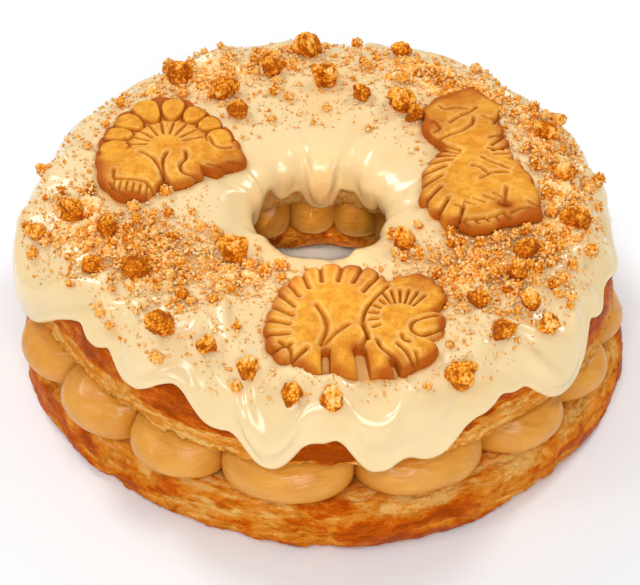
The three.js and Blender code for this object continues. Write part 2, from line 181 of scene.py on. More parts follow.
def noise(points, seed=0):
    """A smooth random field from -1 to 1: values at whole cells a unit apart, blended by eased shares."""
    cell = np.floor(points)
    share = points - cell
    share = share * share * (3 - 2 * share)
    total = 0
    for corner in np.ndindex(2, 2, 2):
        total = total + np.where(corner, share, 1 - share).prod(-1) * hashed(cell + corner, seed)
    return 2 * total - 1


def layered(points, octaves, seed=0):
    """Noise with finer noise on it: each octave is twice as fine and half as high."""
    return sum(noise(points * 2**i + 13 * i, seed + i) / 2**i for i in range(octaves))


def pits(points, seed=0):
    """Distance from each point to the nearest of random spots, one in each whole cell."""
    cell = np.floor(points)
    nearest = np.full(points.shape[:-1], 9.0)
    for shift in np.ndindex(3, 3, 3):
        near = cell + shift - 1
        spot = near + np.stack([hashed(near, seed + i) for i in range(3)], -1)
        nearest = np.minimum(nearest, np.linalg.norm(points - spot, axis=-1))
    return nearest


def rotated(points, axis, degrees):
    """Points turned about the axis numbered 0, 1 or 2."""
    c, s = aimed(degrees)
    i, j = [(1, 2), (2, 0), (0, 1)][axis]
    turned = np.array(points, float)
    turned[..., i] = c * points[..., i] - s * points[..., j]
    turned[..., j] = s * points[..., i] + c * points[..., j]
    return turned


# ---- Meshes -------------------------------------------------------------------------------------


def grid_faces(rows, columns, closed):
    """Squares between neighbouring points of a grid; columns always join round, rows join where closed."""
    i = np.arange(rows if closed else rows - 1)[:, None]
    j = np.arange(columns)[None, :]
    k, down = (j + 1) % columns, (i + 1) % rows
    corners = [i * columns + j, down * columns + j, down * columns + k, i * columns + k]
    return np.stack(np.broadcast_arrays(*corners), -1).reshape(-1, 4)


def cap_faces(row, columns, pole):
    """Triangles from each pair of neighbouring points in a row to a pole."""
    j = np.arange(columns)
    return np.stack([row * columns + j, row * columns + (j + 1) % columns, np.full(columns, pole)], -1)


def ball_faces(rows, columns):
    """The faces of a closed ball: a grid with a pole at either end, whose points follow the grid's."""
    first, last = rows * columns, rows * columns + 1
    return [
        grid_faces(rows, columns, False),
        cap_faces(0, columns, first),
        cap_faces(rows - 1, columns, last)[:, ::-1],
    ]


def grid_normals(points, outward):
    """Unit normals of a grid closed both ways: the cross product of its two directions, on outward's side."""
    across = np.roll(points, -1, 0) - np.roll(points, 1, 0)
    along = np.roll(points, -1, 1) - np.roll(points, 1, 1)
    normal = np.cross(across, along)
    normal /= np.linalg.norm(normal, axis=-1, keepdims=True) + 1e-9
    return normal * np.sign((normal * outward).sum())


def make_piece(name, points, faces, material, slot, stands_for=(), **values):
    """Makes a piece from points and arrays of faces, turned outwards by the sign of its volume.

    values are one number or one vector for each point, kept as attributes that the finishes read.
    """
    points = np.asarray(points, float).reshape(-1, 3)
    fans = np.concatenate([f[:, [0, i, i + 1]] for f in faces for i in range(1, f.shape[1] - 1)])
    a, b, c = (points[fans[:, i]] for i in range(3))
    if (a * np.cross(b, c)).sum() < 0:
        faces = [f[:, ::-1] for f in faces]
    sides = np.concatenate([np.full(len(f), f.shape[1]) for f in faces])
    corners = np.concatenate([f.ravel() for f in faces])
    mesh = bpy.data.meshes.new(name)
    mesh.vertices.add(len(points))
    mesh.vertices.foreach_set("co", (points * MM).astype(np.float32).ravel())
    mesh.loops.add(len(corners))
    mesh.loops.foreach_set("vertex_index", corners.astype(np.int32))
    mesh.polygons.add(len(sides))
    mesh.polygons.foreach_set("loop_start", (np.cumsum(sides) - sides).astype(np.int32))
    mesh.polygons.foreach_set("use_smooth", np.ones(len(sides), bool))
    mesh.update(calc_edges=True)
    for key, value in values.items():
        value = np.asarray(value, np.float32)
        kind, field = ("FLOAT", "value") if value.size == len(points) else ("FLOAT_VECTOR", "vector")
        mesh.attributes.new(key, kind, "POINT").data.foreach_set(field, value.ravel())
    mesh.materials.append(material)
    piece = bpy.data.objects.new(name, mesh)
    bpy.context.scene.collection.objects.link(piece)
    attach(piece, "root")
    if stands_for:
        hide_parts(*stands_for)


def make_ring(name, points, material, slot, node, **values):
    """Makes a piece from a grid of points that closes both ways."""
    make_piece(name, points, [grid_faces(*points.shape[:2], True)], material, slot, [node], **values)


# ---- Ring and section shapes --------------------------------------------------------------------


def ring_angles(count):
    """Even angles round the ring, starting at the back."""
    return 90 + 360 * np.arange(count) / count


def ring_points(angle, radius, height):
    """Points from their angle round the ring, radius across its wide way and height."""
    c, s = aimed(angle)
    parts = (RING_CENTRE[0] + radius * c, RING_CENTRE[1] + RING_SQUASH * radius * s, height)
    return np.stack(np.broadcast_arrays(*parts), -1)


def ring_radii(points):
    """The radius of points across the ring's wide way."""
    return np.hypot(points[..., 0] - RING_CENTRE[0], (points[..., 1] - RING_CENTRE[1]) / RING_SQUASH)


def unrolled(points, angle, radius):
    """Places on a section carried round the ring: on a circle of a fixed radius, and along the section."""
    steps = np.linalg.norm(np.diff(points, axis=0, prepend=points[:1]), axis=-1)
    c, s = aimed(angle + 0 * steps)
    return np.stack([radius * c, radius * s, np.cumsum(steps, 0)], -1)


def rounded(path, passes, axis=0):
    """A closed path, softened: each pass takes half of every point and a quarter of either neighbour."""
    for _ in range(passes):
        path = path / 2 + (np.roll(path, 1, axis) + np.roll(path, -1, axis)) / 4
    return path


def swept(angle, unit, level):
    """Places for noise that closes round the ring: a circle with a step every unit degrees, and a level."""
    (c, s), size = aimed(angle), 180 / np.pi / unit
    return np.stack(np.broadcast_arrays(size * c, size * s, level), -1)


def bun_section(angle, turn):
    """Radius and height of the upper half's smooth surface.

    Two quarter ovals lie over two flanks. The outer oval and flank reach out by the first of BUN_REACH and
    the inner by the second. Between them the waist's height goes from one of BUN_WAIST to the other. A power
    under 1 makes an oval fuller and a flank steeper.
    """
    side, rise = aimed(turn)
    lift = BUN_TILT * np.sin(np.radians(angle))
    inner = BUN_WAIST[1] + lift
    waist = BUN_WAIST[0] + (inner - BUN_WAIST[0]) * (1 - side) / 2
    swell = sum(out * hump(angle, at, width) for at, width, out in BUN_SWELLS)
    front = BUN_INNER_FRONT[2] * hump(angle, BUN_INNER_FRONT[0], BUN_INNER_FRONT[1])
    reach = np.where(side > 0, BUN_REACH[0] + swell, BUN_REACH[1] - front)
    over, size = rise >= 0, np.abs(side)
    crest = waist + (BUN_CREST + lift - waist) * np.maximum(rise, 0) ** 0.9
    out = np.where(over, np.sign(side) * reach * size**0.9, 0)
    out = np.where(~over & (side > 0), reach * size**0.08 - BUN_FLARE * rise, out)
    out = np.where(~over & (side <= 0), -reach * size**0.85, out)
    fall = np.where(side > 0, BUN_FALL[0], BUN_FALL[1])
    return RING_RADIUS + out, np.where(over, crest, waist + fall * rise)


def inner_shares(count):
    """Even shares between 0 and 1, in a column."""
    return np.linspace(0, 1, count + 2)[1:-1, None]


def edge_height(angle, rim, drips, blunt=2.4):
    """Height of the icing's edge: the rim, less the fourth root of the summed fourth powers of its drips.

    A drip falls by its depth times e to the minus distance over its width, to the power blunt.
    """
    off = [np.abs(between(angle, at) / width) for at, width, _ in drips]
    fall = sum(((rim - tip) * np.exp(-(near**blunt))) ** 4 for near, (_, _, tip) in zip(off, drips))
    return rim - fall**0.25


# ---- Finishes -----------------------------------------------------------------------------------


def add(tree, kind, sockets=(), **settings):
    """Adds a node and returns its outputs. settings are its properties; sockets holds values or links."""
    node = tree.nodes.new("ShaderNode" + kind)
    for name, value in settings.items():
        setattr(node, name, value)
    for name, value in dict(sockets).items():
        if isinstance(value, bpy.types.NodeSocket):
            tree.links.new(value, node.inputs[name])
        else:
            node.inputs[name].default_value = value
    return node.outputs


FACTOR, FIRST, SECOND, MIXED = 0, 6, 7, 2  # a colour Mix node's sockets by number


def new_finish(name):
    """A material with an empty node tree and its object coordinates."""
    material = bpy.data.materials.new(name)
    material.use_nodes = True
    tree = material.node_tree
    tree.nodes.clear()
    return material, tree, add(tree, "TexCoord")["Object"]


def finished(material, heights, strength, depth, sockets):
    """Ends a material: a bump of heights under a shader with the given sockets."""
    tree = material.node_tree
    bump = add(tree, "Bump", {"Strength": strength, "Distance": depth, "Height": heights})[0]
    shader = add(tree, "BsdfPrincipled", {**sockets, "Normal": bump})[0]
    add(tree, "OutputMaterial", {"Surface": shader})
    return material


def rgba(colour):
    """A colour with full cover."""
    return (*colour, 1)


def coated(tree, colour, *coats):
    """A colour with others laid over it in turn, each by its own share."""
    for share, coat in coats:
        sockets = {FACTOR: share, FIRST: colour, SECOND: rgba(coat)}
        colour = add(tree, "Mix", sockets, data_type="RGBA")[MIXED]
    return colour


def stepped(tree, value, stops):
    """A colour that runs through stops of (value, colour), straight from each to the next."""
    colour = rgba(stops[0][1])
    for (low, _), (high, following) in zip(stops, stops[1:]):
        share = add(tree, "MapRange", {0: value, 1: low, 2: high})[0]
        colour = coated(tree, colour, (share, following))
    return colour


def summed(tree, *terms):
    """The sum of values, each times its own share."""
    total = None
    for value, share in terms:
        term = add(tree, "Math", {0: value, 1: share}, operation="MULTIPLY")[0]
        total = term if total is None else add(tree, "Math", {0: total, 1: term}, operation="ADD")[0]
    return total


def baked_crust(colours):
    """Egg-washed, oven-browned rich dough: from pale torn crumb through golden edges to glossy brown skin.

    The bake attribute goes from 0 on crumb to 1 on the darkest skin, and grain unrolls the surface in
    millimetres so that fibres follow the ring.
    """
    material, tree, place = new_finish("egg_washed_bread_crust")
    bake = add(tree, "Attribute", attribute_name="bake")["Fac"]
    grain = add(tree, "Attribute", attribute_name="grain")["Vector"]
    # fibres of torn dough are about 1 mm thick and 5 mm long
    along = add(tree, "Mapping", {"Vector": grain, "Scale": (0.2, 0.2, 0.8)})[0]
    torn = {"Vector": along, "Scale": 1, "Detail": 6, "Roughness": 0.66, "Distortion": 0.6}
    fibres = add(tree, "TexNoise", torn)[0]
    # blotches are about 7 mm long and 3 mm high
    across = add(tree, "Mapping", {"Vector": grain, "Scale": (0.14, 0.14, 0.3)})[0]
    blotched = {"Vector": across, "Scale": 1, "Detail": 6, "Roughness": 0.7, "Distortion": 0.8}
    mottle = add(tree, "TexNoise", blotched)[0]
    # flecks are a millimetre and less
    flecks = add(tree, "TexNoise", {"Vector": place, "Scale": 1100, "Detail": 4, "Roughness": 0.72})[0]
    level = summed(tree, (bake, 1), (fibres, 1.05), (mottle, 0.95), (flecks, 0.6))
    level = add(tree, "Math", {0: level, 1: -1.3}, operation="ADD")[0]
    stops = [
        (0.1, colours.crumb), (0.27, colours.crumb_shade), (0.45, colours.crust_gold), (0.68, colours.crust),
        (1.0, colours.crust_dark),
    ]
    colour = stepped(tree, level, stops)
    # the egg wash shines where the skin is whole
    gloss = add(tree, "MapRange", {0: level, 1: 0.32, 2: 0.6, 3: 0.75, 4: 0.3})[0]
    heights = summed(tree, (fibres, 1.2), (mottle, 1), (flecks, 0.7))
    return finished(material, heights, 0.9, 0.0013, {
        "Base Color": colour,
        "Roughness": gloss,
        "IOR": 1.4,
        "Specular IOR Level": 0.1,
        "Specular Tint": rgba(colours.crumb),
    })


def piped_cream(colours):
    """Butter-rich custard cream: satin, dense, a little see-through, with the fine ripples of piping."""
    material, tree, place = new_finish("piped_custard_cream")
    broad = add(tree, "TexNoise", {"Vector": place, "Scale": 90, "Detail": 4})[0]
    share = add(tree, "MapRange", {0: broad, 1: 0.35, 2: 0.65})[0]
    # ripples 1.3 mm apart and about 7 mm long, and a fine grain
    level = add(tree, "Mapping", {"Vector": place, "Scale": (140, 140, 780)})[0]
    ripples = add(tree, "TexNoise", {"Vector": level, "Scale": 1, "Detail": 2, "Distortion": 0.4})[0]
    grain = add(tree, "TexNoise", {"Vector": place, "Scale": 1300, "Detail": 3})[0]
    return finished(material, summed(tree, (ripples, 1), (grain, 0.22)), 0.55, 0.0008, {
        "Base Color": coated(tree, rgba(colours.cream_shade), (share, colours.cream)),
        "Roughness": 0.3,
        "IOR": 1.46,
        "Subsurface Weight": 0.15,
        "Subsurface Radius": (0.004, 0.003, 0.002),
        "Subsurface Scale": 0.5,
    })


def poured_icing(colours):
    """White chocolate icing set to a smooth skin: glossy and milky, light passes a few millimetres into it.

    A tint attribute darkens and warms the icing: in its valleys, where it lies thinner over the golden bread,
    partly painted shade; low down in the hole, painted warm shade standing for light thrown back by cream and
    crumb; round the biscuits' outlines, painted contact shadow together with butter soaking in.
    """
    material, tree, place = new_finish("poured_white_icing")
    broad = add(tree, "TexNoise", {"Vector": place, "Scale": 35, "Detail": 2})[0]
    thin = add(tree, "Attribute", attribute_name="thin")["Fac"]
    # faint waves of 8 mm
    ripple = add(tree, "TexNoise", {"Vector": place, "Scale": 120, "Detail": 2})[0]
    # the last coat is the tint of thinner icing and painted shade
    colour = coated(tree, rgba(colours.icing_shade), (broad, colours.icing), (thin, colours.icing_thin))
    return finished(material, ripple, 0.1, 0.001, {
        "Base Color": colour,
        "Roughness": 0.17,
        "IOR": 1.46,
        "Subsurface Weight": 0.25,
        "Subsurface Radius": (0.005, 0.004, 0.003),
        "Subsurface Scale": 0.5,
    })


def baked_biscuit(colours):
    """Moulded butter biscuit: dull and finely grained, browner along its edges, with painted shadow in its
    stamped lines and painted highlight on their raised sides.

    The rim attribute is 1 at the browned edge. line is 1 in a stamped line and below 0 on its raised sides.
    """
    material, tree, place = new_finish("moulded_butter_biscuit")
    rim = add(tree, "Attribute", attribute_name="rim")["Fac"]
    line = add(tree, "Attribute", attribute_name="line")["Fac"]
    mottle = add(tree, "TexNoise", {"Vector": place, "Scale": 220, "Detail": 5, "Roughness": 0.65})[0]
    mottled = add(tree, "MapRange", {0: mottle, 1: 0.35, 2: 0.68}, interpolation_type="SMOOTHSTEP")[0]
    # painted highlight: the raised sides of the lines are coloured pale
    side = add(tree, "Math", {0: line, 1: -1}, operation="MULTIPLY", use_clamp=True)[0]
    # pores about a millimetre apart, the deepest of them dark
    grain = add(tree, "TexNoise", {"Vector": place, "Scale": 1100, "Detail": 4, "Roughness": 0.7})[0]
    pores = add(tree, "MapRange", {0: grain, 1: 0.34, 2: 0.42, 3: 0.55, 4: 0.0})[0]
    # painted shadow in the stamped lines and painted highlight on their sides, over the real mottle and
    # browned rim
    colour = coated(
        tree, rgba(colours.biscuit_shade), (mottled, colours.biscuit), (side, colours.biscuit_side_highlight),
        (rim, colours.biscuit_rim), (line, colours.biscuit_line_shadow), (pores, colours.biscuit_rim),
    )
    heights = add(tree, "Math", {0: grain, 1: mottle}, operation="ADD")[0]
    return finished(material, heights, 0.8, 0.0007, {
        "Base Color": colour,
        "Roughness": 0.55,
        "IOR": 1.4,
        "Specular IOR Level": 0.25,
    })


def biscuit_crumble(colours):
    """Crushed butter biscuit: dry granules, pale where they broke open and well browned outside, with painted
    shade in the gaps and painted light on the tops of grains.

    The tone attribute goes from 0 on scorched bits to 1 on the palest; it also carries painted light and
    shade, paler on tops and darker in hollows.
    """
    material, tree, place = new_finish("crushed_biscuit")
    tone = add(tree, "Attribute", attribute_name="tone")["Fac"]
    # granules of 1.1 mm, and specks of about two thirds of a millimetre
    granules = add(tree, "TexVoronoi", {"Vector": place, "Scale": 900})["Distance"]
    specks = add(tree, "TexNoise", {"Vector": place, "Scale": 1500, "Detail": 3, "Roughness": 0.7})[0]
    # painted shade: the colour darkens towards each granule's edge, into the gaps between granules
    level = summed(tree, (tone, 1), (granules, -0.7), (specks, 0.5))
    level = add(tree, "Math", {0: level, 1: 0.08}, operation="ADD")[0]
    stops = [
        (-0.12, colours.crumble_dark), (0.14, colours.crumble_brown), (0.38, colours.crumble),
        (0.86, colours.crumble_pale),
    ]
    return finished(material, summed(tree, (granules, -1), (specks, 0.35)), 0.8, 0.0005, {
        "Base Color": stepped(tree, level, stops),
        "Roughness": 0.65,
        "IOR": 1.4,
        "Specular IOR Level": 0.12,
    })


# ---- Lower half ---------------------------------------------------------------------------------

BASE_COLUMNS = 1100
BASE_AROUND = 118  # radius at which degrees become millimetres for the grain


def base_surface():
    """The lower half's points and where its crumb shows.

    The section's corners are joined, softened and carried round the ring, swaying with BASE_WAVES and
    BASE_DENT. Its outer wall then moves along its normals by broad noise, whole patches of skin stand proud
    of torn seams, and the cut rim rises into the creases between the bulbs of cream.
    """
    corners = np.array(BASE_SECTION, float)
    following = np.roll(corners, -1, 0)
    path = np.concatenate([
        a[:2] + (b[:2] - a[:2]) * np.arange(int(a[2]))[:, None] / a[2] for a, b in zip(corners, following)
    ])
    path = rounded(path, 12)
    angle = ring_angles(BASE_COLUMNS)[None, :]
    radius, height = path[:, :1], path[:, 1:]
    sway = sum(rise * np.sin(np.radians(waves * angle + start)) for waves, start, rise in BASE_WAVES)
    dent = BASE_DENT[2] * hump(angle, BASE_DENT[0], BASE_DENT[1])
    outer = ramp(radius, 90, 112)
    radius = radius + outer * (sway - dent) + (1 - outer) * sway / 2
    crease = sum(hump(angle, at, 4.5) for at in CREAM_CREASES)
    rim = ramp(radius, 102, 112) * ramp(height, 12, 20)
    height = height + crease * rim * 2.4
    points = ring_points(angle, radius, height)
    middle = ring_points(angle, RING_RADIUS, 10)
    normals = grid_normals(points, points - middle)
    wall = ramp(np.abs(radius - 90), 15, 26) * ramp(height, 0.2, 2.5)
    grain = unrolled(points, angle, BASE_AROUND)
    bent = grain + np.array([0, 0, 7]) * layered(grain / 42, 2, 3)[..., None]
    broad = layered(grain / (26, 26, 12), 2, 5)
    rim = ramp(np.abs(height - BASE_TOP), 9, 0) * ramp(radius, 100, 110)  # nearness to the cut rim
    patch = layered(bent / (19, 19, 6.5), 3, 11) - 0.55 * rim + 0.1
    whole = ramp(patch, -0.1, 0.14)  # skin that has stayed whole
    strands = layered(bent / (11, 11, 1.7), 3, 21)
    wrinkles = layered(points / 2.8, 2, 31)
    creased = layered(bent / (7, 7, 3), 3, 33)
    holes = ramp(0.45 - pits(bent / (4.6, 4.6, 2.1), 41), 0, 0.22)
    out = 1.0 * broad + 1.2 * whole - 0.3 + (1 - whole) * (0.95 * strands - 0.9 * holes)
    out = out + whole * (0.32 * creased + 0.12 * strands) + 0.13 * wrinkles
    points = points + normals * (wall * out)[..., None]
    foot = layered(grain / (6, 6, 60), 3, 43) * ramp(6 - height, 0, 5) * wall
    points = points - normals * (0.9 * np.abs(foot))[..., None]
    points[..., 2] = np.maximum(points[..., 2], 0)
    inner = ramp(RING_RADIUS - radius, 0, 6)
    skin = 0.7 + 0.3 * (patch - 0.3) + 0.26 * layered(bent / (9, 9, 3.6), 3, 51)
    crumb = 0.3 + 0.3 * strands + 0.12 * creased
    bake = crumb + (skin - crumb) * ramp(patch, -0.3, 0.2) * wall * (1 - 0.8 * inner)
    bake = bake + 0.2 * ramp(9 - height, 0, 8) * wall - 0.1 * rim + 0.1 * inner
    return points, dict(bake=np.clip(bake, -0.3, 1.1), grain=grain)


# ---- Piped cream --------------------------------------------------------------------------------

CREAM_BULB_COLUMNS = 46
CREAM_END_STEPS = 40
CREAM_LEVEL_STEPS = 4  # rows between the two ends, above and below
CREAM_MIDDLE = 82  # radius midway between the two ends


def cream_surface():
    """The cream ring's points: bulbs side by side, each rounded at both ends and pinched at its creases.

    Across a bulb, place goes from -1 to 1, packed towards the creases, and the fullness is
    (1 - |place|^2.2)^0.52. At each end the radius runs from core to tip by the cosine of the turn to the
    power 0.62, and the height by its sine. Piping leaves soft folds near the top, and fine ripples.
    """
    place = np.sin(np.linspace(-90, 90, CREAM_BULB_COLUMNS, endpoint=False) * np.pi / 180)
    starts = np.array(CREAM_CREASES, float)
    widths = (np.roll(starts, -1) - starts) % 360
    angle = (starts[:, None] + widths[:, None] * (place + 1) / 2).ravel()[None, :]
    full = np.tile(np.maximum(0, 1 - np.abs(place) ** 2.2) ** 0.52, len(starts))[None, :]
    number = np.repeat(np.arange(len(starts)), len(place))[None, :]
    variety = hashed(np.stack([number, number * 0, number * 0], -1), 3) - 0.5
    rise = (CREAM_CEILING - CREAM_FLOOR) / 2 * (CREAM_CREASE_HEIGHT + (1 - CREAM_CREASE_HEIGHT) * full)
    middle = (CREAM_FLOOR + CREAM_CEILING) / 2
    turns = np.linspace(-CREAM_TURN, CREAM_TURN, CREAM_END_STEPS)[:, None]

    def end(sizes, turn):
        tip, low, core = sizes
        radius = core + (low + (tip + 1.6 * variety - low) * full - core) * np.cos(np.radians(turn)) ** 0.62
        level = rise * np.sin(np.radians(turn)) / np.sin(np.radians(CREAM_TURN))
        if tip < core:  # inside, the bulbs swell up into the hollow below the upper half
            level = level + full * (2.5 + 2.5 * np.sin(np.radians(turn)))
        return ring_points(angle, radius, middle + level)

    outside, inside = end(CREAM_OUTSIDE, turns), end((CREAM_INSIDE[0] - 2.5, *CREAM_INSIDE[1:]), -turns)
    share = inner_shares(CREAM_LEVEL_STEPS)[..., None]
    top = outside[-1] + (inside[0] - outside[-1]) * share
    bottom = inside[-1] + (outside[0] - inside[-1]) * share
    points = np.concatenate([outside, top, inside, bottom])
    normals = grid_normals(points, points - ring_points(angle, CREAM_MIDDLE, middle))
    high = ramp(points[..., 2], 28, 38)
    slant = np.array([0, 0, 2.5]) * np.tile(place, len(starts))[None, :, None]
    swirl = points + 5 * noise(points / 11, 61)[..., None] + slant
    folds = high * (np.abs(noise(swirl / (9, 9, 3.2), 63)) ** 0.7 - 0.5)
    out = 0.6 * noise(points / 13, 65) - 1.1 * folds + 0.07 * layered(swirl / (3.2, 3.2, 1.1), 2, 67)
    return points + normals * (out * full)[..., None]


# ---- Upper half ---------------------------------------------------------------------------------

BUN_COLUMNS = 1040
BUN_AROUND = 116  # radius at which degrees become millimetres for the grain
BUN_BASE_STEPS = 8  # rows across the flat underside


def bun_surface():
    """The upper half's points, and where its crumb shows and its skin is darkest.

    The smooth section is carried round the ring. Its flanks move along their normals by broad noise, blisters
    and wrinkles. Its lower edge is ragged: it hangs lower and stands further back by noise, with torn holes.
    """
    turns = np.concatenate([
        np.linspace(BUN_FEET[0], 14, 44),
        np.linspace(20, 160, 12),
        np.linspace(168, BUN_FEET[1], 30),
    ])[:, None]
    angle = ring_angles(BUN_COLUMNS)[None, :]
    radius, height = bun_section(angle, turns)
    ends = np.stack([radius[-1], radius[0]])
    radius = np.concatenate([radius, ends[0] + (ends[1] - ends[0]) * inner_shares(BUN_BASE_STEPS)])
    height = np.concatenate([height, np.full((BUN_BASE_STEPS, BUN_COLUMNS), BUN_FLOOR, float)])
    radius, height = rounded(radius, 5), rounded(height, 5)
    points = ring_points(angle, radius, height)
    normals = grid_normals(points, points - ring_points(angle, RING_RADIUS, 55))
    grain = unrolled(points, angle, BUN_AROUND)
    bent = grain + np.array([0, 0, 6]) * layered(grain / 34, 2, 71)[..., None]
    flank = np.where(radius > RING_RADIUS, ramp(radius, 100, 112), ramp(56 - radius, 0, 8))
    low = ramp(BUN_FLOOR + 8 - height, 0, 7)  # nearness to the lower edge
    torn = ramp(BUN_FLOOR + 15 - 8 * hump(angle, -86, 18) - height, 0, 7)
    patch = 0.8 * layered(bent / (15, 15, 5), 3, 73) + 0.8 * (1 - torn) - 0.75 * torn
    whole = ramp(patch, -0.05, 0.2)
    strands = layered(bent / (8, 8, 1.7), 3, 75)
    holes = ramp(0.5 - pits(bent / (4, 4, 2.4), 77), 0, 0.2)
    blisters = layered(bent / (8, 8, 4), 3, 79)
    out = 0.7 * noise(points / 19, 81) + 0.8 * whole * blisters + 0.12 * layered(points / 1.9, 2, 83)
    out = out + (1 - whole) * (0.75 * strands - 1.0 * holes)
    ragged = layered(np.stack([points[..., 0], points[..., 1], points[..., 2] * 0], -1) / 6, 3, 85)
    points = points + normals * (out * flank * (0.35 + 0.65 * ramp(68 - height, 0, 10)))[..., None]
    bitten = layered(bent / (1.6, 1.6, 1.6), 2, 86)
    points[..., 2] += flank * low**2 * (2.7 * ragged + 0.5 * bitten - 0.3)
    inwards = (points - ring_points(angle, RING_RADIUS, 50)) * (1, 1, 0)
    inwards /= np.linalg.norm(inwards, axis=-1, keepdims=True) + 1e-9
    points -= inwards * (flank * low**2 * (0.6 + 1.2 * np.abs(strands)))[..., None]
    inner = ramp(RING_RADIUS - radius, 0, 6)
    skin = 0.8 + 0.2 * (patch - 0.6) + 0.28 * layered(bent / (10, 10, 4), 3, 87) + 0.3 * hump(angle, -86, 14)
    skin = skin - 0.22 * hump(np.abs(angle), 0, 28) - 0.22 * hump(np.abs(angle), 180, 28)
    crumb = 0.24 + 0.28 * strands - 0.2 * inner
    bake = crumb + (skin - crumb) * ramp(patch, -0.2, 0.24) * (1 - 0.95 * inner)
    return points, dict(bake=np.clip(bake, -0.3, 1.1), grain=grain)


# ---- Icing --------------------------------------------------------------------------------------

ICING_COLUMNS = 1040
SECTION_STEPS = 320
OUTER_ROWS, INNER_ROWS = slice(0, 140), slice(180, 320)  # the section's steps on either flank
ICING_SHEET = 3.3  # thickness away from the edges
LEAST_ICING = 1.4
ICING_FLOOR = 0.05  # clear height of the icing's underside over the bread
UNDERSIDE = -1.2  # height of the hidden rows that close the icing inside the bread
OUTER_AROUND, INNER_AROUND = 120, 32  # radii at which degrees along either edge become millimetres
OUTER_WINDOW, INNER_WINDOW = 9, 25  # columns over which either edge is softened
OUTER_REACH, INNER_REACH = 44, 70  # columns either way over which the distance to an edge is measured
HIDDEN_STEP, HIDDEN_HEIGHT = 1.5, -0.8  # of the rows just in from either edge, inside the bread
LIP_STEPS = np.linspace(-90, 90, 9)  # degrees round the rolled edge
NEAR_STEPS = np.array([0.5, 1.1, 1.8, 2.6, 3.6, 4.8, 6.2, 7.8])  # distances in from the rolled edge
MIDDLE_STEPS = 54
UNDER_STEPS = 4
FLOWS = [  # rivulets: angle at the edge, lean in degrees over 40 mm, width in degrees, height, length
    (-99.5, 9, 3.2, 1.5, 46), (-79, 9, 3.4, 0.7, 26), (-68, -4, 3.6, 0.6, 24), (-42, -7, 3.6, 1.1, 30),
    (-126, 8, 3.5, 1, 36), (-160, 6, 4.5, 1, 34), (7, -4, 3.4, 1, 30), (24, -4, 3.2, 1.1, 32),
    (57, -3, 4, 1.1, 34), (88, 0, 4, 1.2, 34), (138, 3, 4, 1.2, 34),
]
ROLLS = [  # soft ridges: (angle, distance up from the outer edge) along each, half width and height
    ([(-94, 10), (-82, 19), (-67, 21), (-54, 16), (-46, 7)], 5.4, 2.1),
    ([(-62, 33), (-48, 25), (-36, 15), (-29, 7)], 4.6, 1.9),
    ([(-152, 11), (-139, 15), (-129, 21), (-118, 24), (-106, 13), (-101, 6)], 4.2, 2.2),
    ([(-178, 15), (-167, 19), (-156, 13), (-147, 19), (-138, 27)], 4.4, 2),
    ([(-116, 36), (-107, 25), (-99, 12)], 3.6, 1.8),
    ([(-28, 22), (-16, 14), (-3, 15), (10, 12), (20, 6)], 4.4, 2),
    ([(34, 9), (47, 16), (62, 15), (76, 9), (86, 6)], 4.4, 2),
    ([(96, 13), (112, 19), (127, 14), (136, 7)], 4.4, 2),
    ([(148, 10), (160, 18), (174, 14)], 4.4, 1.8),
]


class Section:
    """The bread's section at each column of the icing, read by the distance along it from its outer foot."""

    def __init__(self, angle):
        self.angle = angle[None, :]
        turns = np.linspace(*BUN_FEET, SECTION_STEPS)[:, None]
        self.radius, self.height = bun_section(self.angle, turns)
        steps = np.hypot(np.diff(self.radius, axis=0), np.diff(self.height, axis=0))
        self.length = np.concatenate([np.zeros((1, len(angle))), np.cumsum(steps, 0)])

    def along(self, at):
        """Radius and height at distances along the section, blended between the two nearest steps."""
        index = np.clip((self.length[None] < at[:, None]).sum(1), 1, SECTION_STEPS - 1)

        def ends(values):
            return [np.take_along_axis(values, index + step, 0) for step in (-1, 0)]

        start, stop = ends(self.length)
        share = (at - start) / (stop - start)
        return [low + (high - low) * share for low, high in (ends(self.radius), ends(self.height))]

    def lifted(self, at, turn, rise):
        """Points at distances along the section, turned sideways by radians and raised along its normal."""
        radius, height = self.along(at)
        (r1, z1), (r0, z0) = self.along(at + 0.5), self.along(at - 0.5)
        run = np.hypot(r1 - r0, z1 - z0) + 1e-9
        angle = self.angle + np.degrees(turn)
        return ring_points(angle, radius + (z1 - z0) / run * rise, height + (r0 - r1) / run * rise)


